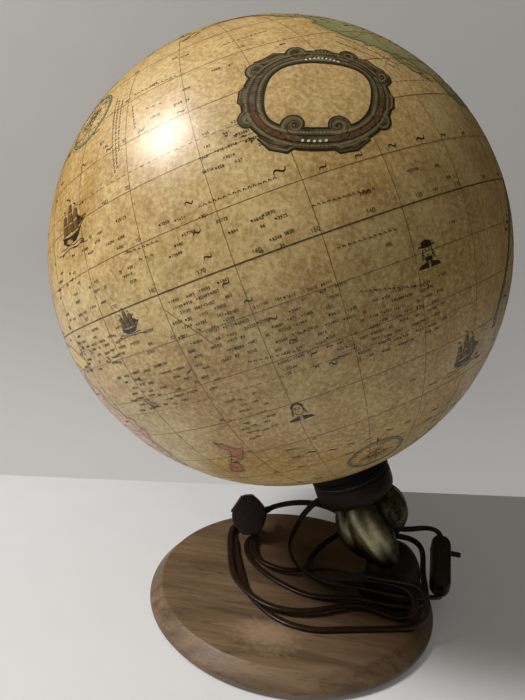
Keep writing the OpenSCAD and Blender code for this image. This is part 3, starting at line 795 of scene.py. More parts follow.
    def build(self, on_first: list[bpy.types.Object], on_second: list[bpy.types.Object]) -> None:
        """Args:
            on_first: the pieces on the first stretch: the switch's; not used.
            on_second: the pieces on the second stretch: the plug's; not used.
        """
        e = self.ends()
        run = self.straight
        first = [e["exit"], e["exit"] + run * e["exit_v"], *self.way_in, e["low"] - run * e["run"], e["low"]]
        second = [e["high"], e["high"] + run * e["run"], *self.way_out, e["plug"] + run * e["plug_v"], e["plug"]]
        first_rolls = [(0, 0), (0.12, 60), (0.42, 75), (0.55, 10), (1, 0)]
        second_rolls = [(0, 0), (0.03, 40), (0.07, 75), (0.1, 0), (0.86, 0), (0.9, 55), (0.97, 60), (1, 40)]
        for name, node, points, rolls, pieces, end in (
                ("flex_to_switch", "cord_to_switch", first, first_rolls, on_first, "fitting"),
                ("flex_to_plug", "cord_to_plug", second, second_rolls, on_second, "plug")):
            line = smooth_route([tuple(p) for p in points], self.step, self.passes)
            obj = finish_piece(self.tube(name, line, rolls), FLEX_PVC, Body.STAND, (node,), angle=60)


@dataclass
class Base:
    """The walnut board, its felt and screws, and the domed foot."""

    rim: float = 106.0
    top_r: float = 97.5
    low: float = 1.5
    high: float = 14.0

    def board(self) -> None:
        """Turns the board with its rounded, bevelled edge."""
        profile = rounded([(3.0, self.low), (self.rim - 1.6, self.low), (self.rim, self.low + 1.8),
                           (self.rim - 0.4, self.low + 4.2), (self.top_r + 0.9, self.high - 0.7),
                           (self.top_r - 0.2, self.high), (3.0, self.high)],
                          {1: 0.8, 2: 1.0, 3: 1.0, 4: 0.35, 5: 0.25}, 3)
        obj = turned("walnut_board", profile, 192)
        finish_piece(obj, WALNUT, Body.STAND, ("wooden_base",), angle=25)

    def foot(self) -> None:
        """Turns the domed foot with its flange."""
        profile = rounded([(25, 0), (25, 2), (24, 3), (21.6, 4), (20.6, 6), (20.2, 10), (19.8, 16), (18.6, 22),
                           (16.4, 27), (13, 32), (9, 35.6), (5, 36.7), (0.6, 37)],
                          {1: 0.8, 2: 0.5, 3: 0.9, 4: 0.9, 5: 1.5, 6: 2.5, 7: 2.4, 8: 2.4, 9: 2.2, 10: 1.8,
                           11: 1.5}, 3)
        obj = turned("domed_foot", [(0.6, 0)] + profile, 96)
        finish_piece(obj, FOOT_IRON, Body.STAND, ("foot",), UPRIGHT, 50)

    def build(self) -> None:
        """Makes the base's pieces."""
        self.board()
        self.foot()


@dataclass
class Neck:
    """The bronzed cup on the arm and the black ring that turns with the globe."""

    rim: float = 28.5
    ring_low: float = 95.2
    ring_top: float = 106.7
    ring_back: float = 114.28

    def cup(self) -> None:
        """Turns the cup, rounded below, with a thin bead under its rim."""
        r = self.rim
        outline = rounded([(5.1, 77), (r - 7, 77), (r - 4.2, 77.8), (r - 2, 79.4), (r - 0.6, 82), (r, 85.5),
                           (r, 92.6), (r - 0.5, 93), (r - 0.5, 94), (13, 94), (13, 85), (5.1, 85)],
                          {1: 1.2, 2: 1.0, 3: 1.0, 4: 1.2, 5: 1.2, 6: 0.15, 8: 0.2}, 3)
        obj = turned("bronzed_neck_cup", outline + outline[:1], 128)
        finish_piece(obj, BRONZED, Body.STAND, ("cup",), AXIS, 40)

    def ring(self) -> None:
        """Turns the black ring with a fine groove, its top following the sphere."""
        r, low, top, back = self.rim, self.ring_low, self.ring_top, self.ring_back
        seat = [(x, GLOBE_W - math.sqrt(GLOBE_R ** 2 - x * x) - 0.02) for x in (26.5, 24.5, 22.5)]
        outline = [(8.0, low), (r - 0.6, low), (r, low + 0.6), (r, low + 3.4), (r - 0.4, low + 3.7),
                   (r, low + 4.0), (r, top - 0.5), (r - 0.15, top - 0.15), *seat, (22.5, back), (8.0, back)]
        obj = turned("black_neck_ring", outline + outline[:1], 128)
        finish_piece(obj, NECK_BLACK, Body.GLOBE, ("neck_ring",), AXIS, 30)

    def build(self) -> None:
        """Makes the neck's pieces."""
        self.cup()
        self.ring()


@dataclass
class CastArm:
    """The leaning arm: a waisted core with long swelling leaves, cast in one piece."""

    # (direction in degrees, reach, tip height, top height, half width, half depth, outward bow, sideways sway)
    leaves: tuple[tuple[float, ...], ...] = (
        (0, 14.5, 40, 84, 13.0, 17.5, 5.0, 0.0), (-84, 9.5, 17.5, 84, 14.5, 12.0, 4.5, 7.0),
        (82, 9.5, 22, 82, 12.5, 11.5, 4.5, 0.0),
        (-152, 10.0, 31, 81, 9.5, 13.0, 4.5, 0.0), (152, 10.0, 33, 81, 9.5, 12.5, 4.5, 0.0))
    top: float = 77.0
    grain: float = 0.75
    # the direction about the axis, in degrees, of the painted light on the casting's front side
    front: float = -100.0

    def leaf(self, way: float, reach: float, tip: float, top: float, wide: float, deep: float,
             bow: float, sway: float) -> bpy.types.Object:
        """Shapes one leaf from a sphere: pointed below, ridged down its middle, bowed outwards.

        Args:
            way: its direction about the axis, in degrees.
            reach: how far its middle line is from the axis.
            tip: the height of its tip along the axis.
            top: the height of its top.
            wide: half its width across.
            deep: half its depth, away from the axis.
            bow: how far its middle stands out from its ends.
            sway: how far its tip leans sideways.

        Returns:
            The leaf as a mesh.
        """
        deselect()
        bpy.ops.mesh.primitive_uv_sphere_add(segments=48, ring_count=40, radius=1.0)
        obj = bpy.context.object
        half = (top - tip) / 2
        facing = turn(way, "Z")
        for v in obj.data.vertices:
            x, y, z = v.co
            point = 1 - 0.3 * max(0.0, -z) ** 2.0
            ridge = 1 - 0.09 * math.exp(-(y / 0.22) ** 2) + 0.05 * math.exp(-((abs(y) - 0.5) / 0.2) ** 2)
            swell = bow * (1 - z * z) if x > 0 else bow * (1 - z * z) * 0.6
            v.co = facing @ Vector((reach + x * deep * ridge * point * (0.85 if x > 0 else 0.6) + swell * 0.6,
                                    y * wide * point + sway * (max(0.0, 0.5 - z) / 1.5) ** 1.5,
                                    tip + half + z * half))
        return obj

    def build(self) -> None:
        """Joins the leaves to the core, melts them together and trims the casting at the cup."""
        core = turned("cast_arm", [(1.0, 22.0), (9.5, 22.0), (10.5, 30), (12.5, 38), (14.5, 50), (16, 62), (16, 78),
                                   (1.0, 78)], 64)
        pick(core, *[self.leaf(*leaf) for leaf in self.leaves])
        bpy.ops.object.join()
        modify(core, "REMESH", mode="VOXEL", voxel_size=self.grain)
        modify(core, "SMOOTH", factor=0.5, iterations=5)
        with editing():
            bpy.ops.mesh.bisect(plane_co=(0, 0, self.top), plane_no=(0, 0, 1), use_fill=True, clear_outer=True)
        # The casting is rubbed brightest far from its axis; towards the front it is lighter still, by painted light
        spots = np.array([v.co for v in core.data.vertices])
        reach = np.hypot(spots[:, 0], spots[:, 1])
        facing = np.degrees(np.arctan2(spots[:, 1], spots[:, 0]))
        rubbed_and_lit = 0.4 + 0.6 * np.exp(-((facing - self.front) / 42) ** 2)
        height = core.data.attributes.new("height", "FLOAT", "POINT")
        height.data.foreach_set("value", (np.clip((reach - 10) / 14, 0, 1) * rubbed_and_lit).astype(np.float32))
        finish_piece(core, AGED_BRASS, Body.STAND, ("arm_casting",), AXIS, 60)


@dataclass
class Switch:
    """The in-line switch's two shells with finger ribs, and its push bar."""

    length: float = SWITCH_LENGTH
    width: float = SWITCH_WIDTH
    thick: float = 16.0
    parting: float = 0.12
    rib_pitch: float = 2.4
    bar_at: Point = (3.5, 35, 0)
    travel: float = 7.0

    def shell(self, name: str, upper: bool, node: str) -> bpy.types.Object:
        """Shapes one half of the switch from a cube: tapered ends, soft edges, ribs at the grip.

        Args:
            name: the piece's name.
            upper: True for the half above the parting line.
            node: the CAD node that it stands for.

        Returns:
            The shell.
        """
        deselect()
        sign = 1 if upper else -1
        bpy.ops.mesh.primitive_cube_add(size=1.0, location=(0, self.length / 2, sign * self.thick / 4))
        obj = bpy.context.object
        obj.name = obj.data.name = name
        obj.scale = (self.width, self.length, self.thick / 2 - self.parting)
        bpy.ops.object.transform_apply()
        obj.data.transform(Matrix.Translation((0, 0, sign * self.parting / 2)))
        with editing():
            bpy.ops.mesh.subdivide(number_cuts=30)
        for v in obj.data.vertices:
            x, y, z = v.co
            end = min(y, self.length - y)
            taper = 1 - 0.42 * max(0.0, 1 - end / 7.0) ** 2.4
            outer = abs(z) / (self.thick / 2)
            drop = 1 - 0.16 * max(0.0, 1 - end / 9.0) ** 2
            round_x = 1 - 0.16 * outer ** 5
            crown = 1 - 0.07 * (abs(x) / (self.width / 2)) ** 3
            rib = 0.0
            if 5 < y < 24 and abs(x) > self.width / 2 - 0.8:
                rib = 0.3 * (0.5 + 0.5 * math.cos(2 * math.pi * y / self.rib_pitch))
            v.co = (x * taper * round_x - math.copysign(rib, x), y, z * crown * drop)
        return finish_piece(obj, SWITCH_PVC, Body.STAND, (node,), SWITCH, 40)

    def bar(self) -> bpy.types.Object:
        """Turns the push bar, its ends domed, with the collar that holds it in."""
        end = (self.width + self.travel + 1) / 2
        outline = rounded([(0.3, -end), (2.0, -end), (2.0, -1.5), (3.5, -1.5), (3.5, 1.5), (2.0, 1.5), (2.0, end),
                           (0.3, end)], {1: 0.9, 6: 0.9}, 4)
        lay = SWITCH @ Matrix.Translation(self.bar_at) @ turn(90, "Y")
        return finish_piece(turned("push_bar", outline, 48), SWITCH_PVC, Body.PUSH_BAR,
                            ("switch_bar",), lay, 40)

    def build(self) -> list[bpy.types.Object]:
        """Makes the switch and returns the pieces that are on the cord."""
        halves = [self.shell("switch_shell_upper", True, "switch_upper"),
                  self.shell("switch_shell_lower", False, "switch_lower")]
        return halves + [self.bar(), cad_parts["switch_screws"]]


@dataclass
class Plug:
    """The flat plug: a moulded body with a thumb grip, and two dull pins."""

    thick: float = 13.0
    # Half of the outline, from the pins' end to the far end, with the curve at each corner
    half: tuple[Point, ...] = ((7, 0, 2), (12, 6, 2), (15.2, 13, 2), (15.2, 18, 1.5), (14, 22, 1.5), (10.4, 27, 2.5),
                               (4.5, 33, 2))
    ribs: int = 7
    first_rib: tuple[float, float] = (-14.3, 20.6)
    rib_pitch: tuple[float, float] = (1.42, 1.75)
    # (radius, distance from the gland's root, length) of its two steps
    gland: tuple[Point, ...] = ((3.2, 0.2, 4.2), (2.9, 3.2, 2.6))

    def block(self) -> bpy.types.Object:
        """Extrudes the body's outline, sinks its two faces and rounds its edges."""
        deselect()
        corners = [(-7, 0, 2), *self.half] + [(-x, z, r) for x, z, r in self.half[:0:-1]]
        outline = rounded([(x, z) for x, z, _ in corners], {k: r for k, (_, _, r) in enumerate(corners)}, 3)
        bpy.ops.mesh.primitive_circle_add(vertices=len(outline), radius=1.0, fill_type="NGON")
        obj = bpy.context.object
        obj.name = obj.data.name = "plug_moulding"
        for v, (x, z) in zip(obj.data.vertices, outline):
            v.co = (x, 0, z)
        with editing():
            bpy.ops.mesh.extrude_region_move(TRANSFORM_OT_translate={"value": (0, self.thick, 0)})
            bpy.ops.mesh.select_all(action="SELECT")
            bpy.ops.mesh.normals_make_consistent(inside=False)
            bpy.ops.mesh.select_all(action="DESELECT")
        for face in obj.data.polygons:
            face.select = abs(face.normal.y) > 0.9
        with editing(everything=False):
            bpy.ops.mesh.inset(thickness=3.4, depth=0.0)
            bpy.ops.mesh.inset(thickness=0.5, depth=-0.7)
        modify(obj, "BEVEL", width=1.4, segments=4, limit_method="ANGLE", angle_limit=math.radians(50))
        return obj

    def body(self) -> bpy.types.Object:
        """Adds the grip ribs and the gland to the block."""
        obj = self.block()
        parts = []
        for k in range(self.ribs):
            x, z = (start + pitch * k for start, pitch in zip(self.first_rib, self.rib_pitch))
            bpy.ops.mesh.primitive_cylinder_add(vertices=16, radius=0.7, depth=self.thick - 2.6,
                                                location=(x, self.thick / 2, z), rotation=(math.pi / 2, 0, 0))
            parts.append(bpy.context.object)
        for radius, at, length in self.gland:
            bpy.ops.mesh.primitive_cone_add(vertices=32, radius1=radius, radius2=radius - 0.35, depth=length)
            part = bpy.context.object
            part.rotation_mode = "QUATERNION"
            part.rotation_quaternion = GLAND_WAY.to_track_quat("Z", "Y")
            part.location = GLAND_ROOT + GLAND_WAY * at
            parts.append(part)
        pick(obj, *parts)
        bpy.ops.object.join()
        finish_piece(obj, PLUG_PVC, Body.STAND, ("plug_body",), PLUG, 40)
        modify(obj, "WEIGHTED_NORMAL", weight=100)
        return obj

    def build(self) -> list[bpy.types.Object]:
        """Makes the plug and returns the pieces that are on the cord."""
        return [self.body(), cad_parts["plug_pins"]]


@dataclass
class Fittings:
    """The small CAD nodes that stay as they are, each with its real finish."""

    finishes: dict[str, Finish] = field(default_factory=lambda: {
        "base_felt": FELT, "base_screws": ZINC, "lamp_tube": BRASS, "arm_grommet": RUBBER, "cup_washer": ZINC,
        "cup_nut": BRASS, "slide_washer": NYLON, "neck_bush": NYLON, "neck_clamp": NECK_BLACK,
        "neck_screws": ZINC, "top_washer": ZINC, "top_nut": BRASS, "equator_strap": CREAM_STYRENE,
        "holder_cap": PHENOLIC, "holder_body": PHENOLIC, "holder_shell": BRASS, "holder_contact": BRASS,
        "bulb_cap": CAP_ALUMINIUM, "bulb_glass": OPAL_GLASS, "inner_lead": FLEX_PVC, "switch_screws": ZINC,
        "plug_pins": NICKEL})

    def build(self) -> None:
        """Assigns the finishes."""
        for name, finish in self.finishes.items():
            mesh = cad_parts[name].data
            mesh.materials.clear()
            mesh.materials.append(finish.build())


# ---- the printed map

# Printed parallels and the true latitudes at which they lie on the sphere
PRINTED = (-90, -40, -30, -23.5, -20, -10, 0, 10, 20, 30, 90)
TRUE = (-90, -37.3, -27.2, -21, -17.8, -8.5, 0, 9.3, 19.1, 28.9, 90)


def places(text: str) -> np.ndarray:
    """Reads "longitude latitude longitude latitude" into rows of places, in degrees."""
    return np.array(text.split(), float).reshape(-1, 2)


def on_sphere(spots: np.ndarray) -> np.ndarray:
    """Lays places on the sphere.

    Args:
        spots: rows of (longitude, printed latitude), in degrees.

    Returns:
        Their unit vectors in the sphere's own frame.
    """
    lon = np.radians(spots[:, 0] + LON_TURN)
    lat = np.radians(np.interp(spots[:, 1], PRINTED, TRUE))
    return np.stack([np.cos(lat) * np.cos(lon), np.cos(lat) * np.sin(lon), np.sin(lat)], axis=1)


def on_map(vectors: np.ndarray) -> np.ndarray:
    """Reads the places of points of the sphere.

    Args:
        vectors: their unit vectors.

    Returns:
        Rows of (longitude, printed latitude), in degrees.
    """
    lon = (np.degrees(np.arctan2(vectors[:, 1], vectors[:, 0])) - LON_TURN + 180) % FULL_TURN - 180
    lat = np.degrees(np.arcsin(np.clip(vectors[:, 2], -1, 1)))
    return np.stack([lon, np.interp(lat, TRUE, PRINTED)], axis=1)


def drawn(spots: np.ndarray, step: float = 1.0) -> np.ndarray:
    """Draws a line on the sphere through places.

    Args:
        spots: the places.
        step: the most degrees between two points of the line.

    Returns:
        The line's unit vectors.
    """
    out = [spots[:1]]
    for a, b in zip(spots, spots[1:]):
        count = max(1, math.ceil(float(np.abs(b - a).max()) / step))
        out.append(a + (b - a) * (np.arange(1, count + 1) / count)[:, None])
    return on_sphere(np.vstack(out))


def on_edge(a: tuple[float, float], b: tuple[float, float]) -> bool:
    """Tells whether a stretch of outline between two places only follows the flat map's edge."""
    return bool(abs(a[0]) == abs(b[0]) == 180 or a[1] == b[1] == -90)


def mesh_points(mesh: bpy.types.Mesh) -> np.ndarray:
    """Returns a mesh's points, one a row."""
    spots = np.empty(len(mesh.vertices) * 3)
    mesh.vertices.foreach_get("co", spots)
    return spots.reshape(-1, 3)


# Outlines of the lands, as places
LANDS = {
    "north_america": "-168 66 -162 70 -156 71.3 -141 69.7 -130 70 -120 69.5 -110 68 -100 68 -94 69 -88 68.5 -85 "
    "66.5 -87 64.5 -94 61 -94 58.7 -88 56.7 -82 55 -80 51.3 -79 54.5 -77 57.5 -78 62.4 -72 61.5 -68 58.5 -64.5 "
    "60.3 -61 56 -56.5 52 -60 50 -66.5 50 -70 47 -65 48.5 -64.5 46 -61 45.5 -66 43.5 -67 45 -70.5 43 -70 41.6 -74 "
    "40.5 -75.5 38 -76 35 -79 33.5 -81.3 31.2 -80.1 26.5 -81.2 25.2 -82.7 28 -84 30 -88 30.3 -90 29.2 -94.5 29.5 "
    "-97.3 27.5 -97.5 22.5 -95 18.5 -92 18.5 -90.5 21 -87 21.4 -88 17.5 -88.5 15.8 -83.5 15 -83.5 11 -81 8.8 -78 "
    "9.3 -77.3 8.2 -80 7.4 -83 8.5 -85.7 10.3 -87.6 13 -92 14.5 -95 16 -99 16.7 -105.3 20 -105.7 22.5 -109.4 26.2 "
    "-112.8 30.5 -114.8 31.7 -112.8 28 -110.5 24.5 -109.6 23 -112 25 -114.8 28 -117 32.5 -120.5 34.6 -122.5 37.6 "
    "-124.3 40.4 -124 46.3 -123 49 -128 51.5 -131 55 -136 58.5 -141 60 -147 61 -152 59.5 -158 56.5 -164 54.7 -158 "
    "58.5 -162 59 -165.5 62 -161 64.3 -166 64.6",
    "south_america": "-77.3 8.2 -75.5 10.6 -72 12 -71.3 10.8 -68 11.3 -64 10.3 -61.8 10.6 -60 8.5 -57 6 -51.5 "
    "4.3 -50 0 -48 -0.8 -44.3 -2.6 -39 -3.3 -35.3 -5.2 -34.8 -8 -37.5 -12 -39 -15 -39.3 -18 -41 -22 -44.5 -23.2 "
    "-48.5 -26 -48.8 -28.6 -52 -33 -54.5 -34.9 -58.3 -34 -57 -36.5 -62 -38.9 -65 -41 -65 -43.5 -67.5 -46 -66 -48 "
    "-69 -51 -68.4 -52.4 -65.2 -54.7 -69 -55.5 -73.5 -53 -75.5 -50 -75.5 -46.8 -72.8 -42.5 -73.6 -38.5 -71.5 -33 "
    "-70.2 -25 -70.3 -18.3 -76.2 -13.9 -79 -8.2 -81.2 -5.5 -80 -2.5 -80.5 -0.5 -78.8 1.5 -77.2 4 -77.8 7",
    "greenland": "-73 78.2 -60 82 -30 83.5 -18 80 -20 74 -23 70 -33 67.8 -40 65 -43.5 60 -48.5 61 -53 66 -54 70 "
    "-58 75", "baffin": "-62 66 -68 64 -74 68 -82 70 -88 73.5 -78 74 -68 70",
    "ellesmere": "-90 77 -75 78.5 -62 82.5 -80 83 -94 81", "victoria": "-117 69 -105 69 -105 73 -118 73",
    "africa": "-6 35.8 3 36.8 10 37.3 11 34 15.5 32.3 20 30.8 23 32.5 29 31 32.5 31.2 34.5 28 37 22 39.5 15.5 "
    "43.2 12 45 10.6 51.2 11.8 48 4.5 43 -0.5 39.5 -4.5 39.3 -8.5 40.7 -14.8 35 -20 35.5 -24 32.7 -26 31 -30 27 "
    "-33.7 20 -34.8 18.3 -34 17 -29.5 14.5 -22.5 11.8 -17 13.7 -11 12 -5.5 8.8 -0.7 9.7 4 5.5 4.6 3.5 6.4 -2 4.8 "
    "-7.6 4.4 -13 8.2 -16.7 12.4 -17.4 14.7 -16.2 19 -17 21 -13 27.8 -9.7 30.5 -8.5 33.3",
    "eurasia": "-9.5 38.7 -9 43.2 -1.6 43.4 -1.2 46 -4.6 48.4 1.5 50.2 5 53 8.5 53.8 8.3 57 10.6 57.6 10.5 54.5 "
    "14 54 19 54.5 21.2 56.5 24 58 23.5 59.3 29.5 60 22.5 60 21.3 61.5 25 65 22 65.8 17.2 61 18.8 60 16.5 56.5 13 "
    "55.5 11 59 7 58 5 61 11 65 15 68.5 21 70 28 71 32 69.8 41 66.7 34 66.5 38 64.2 44 66 46 68 54 68.5 60 69 68 "
    "68.5 68 72.5 74 71.5 80 73.5 90 75.5 104 77.6 112 74 128 72.5 140 72.5 152 71 161 69.6 170 70 180 68.9 180 "
    "65.1 177 62.3 170 60 163 58.3 163 56 156.7 51 155.7 56.5 163 62 156 61.5 149 59.5 142 59 135.5 54.8 140.5 52 "
    "140.3 48 132 43.2 129.5 41 127.6 39.5 129.3 36 126.5 34.4 126.5 37.5 124.5 40 121.3 39 121.7 41 118 39.1 "
    "118.5 37.5 122.4 37 119.3 35 121.7 31.5 121.5 28 117 23.5 110.5 21.2 108 21.6 106 19 109.2 12.5 105 8.7 "
    "104.5 10.5 101 12.7 99.3 9.3 103.5 4 104.2 1.4 101.3 2.8 98.3 8 97.7 16.3 94.3 16 92.3 20.7 90 22 87 21.5 "
    "82.3 16.6 80.2 13 79.8 10.3 77.5 8.1 74.8 12.9 72.8 19 72.7 21.5 70.3 20.9 69 22.3 66.7 25 61.6 25.1 57 26.8 "
    "50.2 30 48 30 50.5 26.5 51.6 24.5 54 24.2 56.3 26 59.8 22.5 57.8 19 52 15.6 45 12.8 43.2 13 42.5 16.7 39 "
    "21.5 35 28 34.5 31.5 36 36 30.5 36.5 27.3 37 26.3 39.5 29 41.1 35 42 41.5 41.5 38 44.5 35 45 30.8 46.5 28 "
    "43.5 28.5 41.4 26 40.7 23 40.3 24 38 22 36.6 19.5 40.3 19.5 41.8 14 45 12.4 44.8 16 41.9 18.4 40.1 16.5 38.4 "
    "15.7 38 15.6 40 12.4 41.7 8.8 44.4 3.2 43.2 3 41.8 -0.3 39.3 -2 36.8 -6 36.1 -9 37",
    "chukotka": "-180 68.9 -175 67.2 -170 66.1 -173 64.4 -180 65.1",
    "antarctica": "-180 -78 -160 -77 -140 -75 -110 -74.5 -75 -72 -60 -64 -58 -63.5 -62 -70 -60 -76 -30 -77 -10 "
    "-71 30 -69.5 60 -67 90 -66.2 120 -66.5 150 -68.5 170 -72 165 -78 180 -78 180 -90 -180 -90",
    "australia": "113.5 -22.5 114.2 -26.5 115.7 -31.8 115.2 -34.2 118 -35 123.5 -34 129 -31.7 134 -32.7 137.8 "
    "-33 136 -34.8 138.5 -35.5 141 -38 143.6 -38.8 146.4 -39 150 -37.5 151.3 -33.5 153.5 -28.5 153 -25 149.5 -22 "
    "146.3 -18.9 145.4 -15 142.5 -10.8 141.6 -14 139.5 -17.5 136 -15 136.8 -12.2 132.5 -11.4 130 -14.9 125.5 "
    "-14.3 122.2 -18 118 -20.4", "britain": "-5.5 50.1 1.3 51.3 0 53 -2 56 -3 58.6 -5.5 58 -4.5 54.5 -4.8 52",
    "ireland": "-10 52 -6 52.2 -6 54.5 -8 55.2 -10 54", "iceland": "-24 65 -18 63.4 -14 65 -16 66.4 -22 66.4",
    "honshu": "131 34 135.5 33.6 140 35.2 141.8 39.5 141 41.3 139.5 38.3 136 36",
    "hokkaido": "140.5 42 145.3 43.3 142 45.4", "kyushu": "130 31.3 131.8 33 130 33.5",
    "sakhalin": "142 46 143.5 49 143 54 142 50", "luzon": "120.5 14 124 13 122 18.3 120.5 18",
    "mindanao": "122 7 126 6.5 125.5 9.6 123 8.5",
    "borneo": "109 1.5 110 -2.8 114.5 -3.8 117.8 1 119 5 116.7 7 113 3.2",
    "sumatra": "95.3 5.5 98.5 3.8 104 -1 106 -5.8 102.5 -4 98.7 1.5",
    "java": "105.3 -6.7 110.5 -6.5 114.5 -7.8 114 -8.7 108 -7.8",
    "sulawesi": "119.5 -5.5 120.5 -2.5 123.3 -4.5 121.5 -2 123.3 -0.9 120.5 0.6 125 1.6 120 1.2 119 -2.5",
    "new_guinea": "131 -1 134 -0.8 135.5 -3.3 138 -1.7 144.5 -3.8 147.7 -6 150.8 -10.4 147 -9.5 143.5 -8.8 138.5 "
    "-8.3 135 -4.5 132.5 -4", "tasmania": "144.7 -40.8 148.3 -41 147 -43.5",
    "north_island": "172.7 -34.5 175.5 -36.8 178.5 -37.7 176.8 -40.2 175.2 -41.6 173.8 -39.3 174.8 -37.5",
    "south_island": "172.7 -40.6 174.2 -41.6 172.8 -43.8 170.7 -45.9 168.3 -46.6 166.5 -45.9 171 -42.3",
    "madagascar": "49.3 -12 50.3 -15.7 47 -25 44 -25 43.3 -22 44.5 -16.2",
    "ceylon": "80 9.5 81.8 7.3 80.6 6 79.8 7.5", "cuba": "-84.8 22 -80 23.1 -74.2 20.2 -77.5 19.9 -82 22.4",
    "hispaniola": "-74.4 18.5 -72 20 -68.5 18.6 -71.5 17.8", "new_caledonia": "164 -20 167 -22.3 166.2 -22.4",
    "new_britain": "148.4 -5.6 152 -4.2 152 -5.3 149.5 -6.3", "new_ireland": "150.8 -2.6 153 -4.6 152.4 -4.4",
    "bougainville": "154.7 -5.4 155.9 -6.6 155.3 -6.7", "guadalcanal": "159.6 -9.3 160.8 -9.8 160 -9.9",
    "malaita": "160.6 -8.4 161.4 -9.6 160.9 -9.4", "espiritu": "166.6 -14.7 167.2 -15.6 166.7 -15.6",
    "viti": "177.3 -17.6 178.6 -17.6 178 -18.2", "vanua": "178.6 -16.8 179.9 -16.2 179 -16.9",
    "hawaii": "-156 20.2 -155 19.6 -155.7 19", "maui": "-157 21 -156 20.8 -156.5 20.6",
    "oahu": "-158.2 21.5 -157.7 21.6 -157.8 21.2", "kauai": "-159.7 22.2 -159.2 22.1 -159.5 21.8",
}
CRINKLED = 0.8   # coasts are crinkled down to this many degrees
# Rivers, each as places from end to end
RIVERS = (
    "-50.5 -0.5 -55 -2.3 -60 -3.2 -65 -3.2 -70 -4 -74 -5 -76 -9", "-89.3 29.3 -91 32 -89.5 36 -91 40 -93 45 -95 47",
    "-90 38.8 -96 41 -100 45 -106 48 -111 47", "31 31 31 28 33 24 32 19 34 17 32.5 14 32 9 31.5 4 33 0",
    "12.6 -6 16 -4 18 0 22 2 25 -1 26 -6 28 -11", "6 4.6 6.5 8 4 12 0 15.5 -3.5 15.5 -8 12 -10 10",
    "47.5 46 45 49 48 53 49.5 56 44 57.5 38 58 34 57", "72 67 68 64 69 60 75 56.5 82 54 85 50",
    "83 72 86 66 90 60 93 55", "127 72 124 66 129 62 120 60 110 57 107 54",
    "121 31.7 117 31 113 30 110 30.5 106 29.5 102 27 98 31 93 34",
    "118 37.8 114 35 110 35 110 40 106 39 103 36 98 35", "90 22.5 88 25 84 25.5 80 26.5 78 30",
    "67.5 24.5 69 28 71 32 74 35 80 32", "29.5 45.2 26 43.8 21 45 19 47 15 48.3 10 48.3",
    "-58.4 -33.8 -60 -30 -58 -27 -54 -23 -50 -20", "-135 68.5 -130 66 -124 63 -118 61 -113 58",
    "139 -35 142 -34 146 -35.7 148 -36.5", "36 -18.5 32 -16 28 -16.5 24 -17 22 -13",
    "-61.5 8.8 -66 7.5 -67.5 4 -65 2.5", "141 53 136 50 131 47.8 127 50 121 53",
    "106.5 10 105 14 102 18 100 22 98 27 95 32", "-124 46 -119 45.8 -118 49",
    "-114.8 31.8 -114 36 -109 38.5 -106 40", "-97 26 -101 29 -106 32 -107 37", "6 51.8 7.5 49 8 47.5",
    "-8.5 41 -4 41.6", "20 54.4 21 52 20 50")
# Lines along which small hills are drawn
RIDGES = (
    "-72 -50 -72 -40 -70.5 -30 -68.5 -22 -71 -15 -76 -9 -78.5 -2 -76 4 -73 8",
    "-148 63 -136 61 -128 56 -121 51 -115 47 -110 42 -106 38 -105 33", "-104 27 -101 21 -96 17",
    "74 37 80 32 86 28.5 92 28.5 96 30", "70 36 78 42 88 44 95 46", "59 67 59 60 57.5 54", "6 45 10 46.8 14 47",
    "-8 31 -2 33.5 6 35.5", "152 -28 149 -34 147 -37", "42 43 47 41.5", "-84 35 -78 40 -72 44", "36 4 38 9 39 13",
    "28 -31 30 -27 31 -22", "100 56 110 55 120 57 130 60", "8 61 13 65 17 68", "88 50 96 51 104 51",
    "172 -43 170 -45")
# Countries' middles and their washes of colour
WASHES = {
    "6f8f68": "-100 55 -108 39 -120 45 -103 23 -118 33 75 60 15 47 -65 -35 20 22 105 15 27 -30 142 41 -3 54 -77 21",
    "d99a90": "-92 33 -60 -12 105 62 3 28 47 24 135 -28 145 -23 148 -32 120 -24 140 -15 -72 18 -5 40 80 22 100 "
    "-1 -25 68 -88 15 24 -3 24 45",
    "e2c267": "-82 47 -70 -38 45 58 100 36 -8 17 35 8 25 63 70 66 52 33 140 -5 -63 4 17 -15 115 1 -160 62 160 66",
    "d29a55": "-112 60 -50 -8 140 64 85 45 10 52 5 9 38 -6 68 33 -76 -8 138 37 112 26 47 -19 122 13",
    "b08fa0": "-75 60 -57 -22 125 -20 95 25 30 52 32 32 -2 12 25 -22 -85 35 -66 8 120 60 107 48 38 39",
    "b3604c": "-150 65 175.5 -38 170 -44 -68 -18 62 58 2 47 43 3 84 28 128 64 16 0 -96 40 48 14 126 38",
    "86a79d": "-45 72 -90 68 -74 3 88 62 18 62 15 14 121 -3 104 26 30 -15 -8 32 60 41 28 40 -70 50",
}


def sideways(line: np.ndarray, closed: bool = False) -> np.ndarray:
    """Finds which way is across a line on the sphere.

    Args:
        line: unit vectors along it.
        closed: whether its last point is its first.

    Returns:
        A unit vector across the line at each of its points.
    """
    along = np.gradient(line, axis=0)
    if closed:
        along[0] = along[-1] = line[1] - line[-2]
    return unit(np.cross(line, along))


def runs(mask: np.ndarray) -> list[np.ndarray]:
    """Returns the numbers of the places where a mask is true, one array for each unbroken run."""
    on = np.nonzero(mask)[0]
    return np.split(on, np.nonzero(np.diff(on) > 1)[0] + 1)


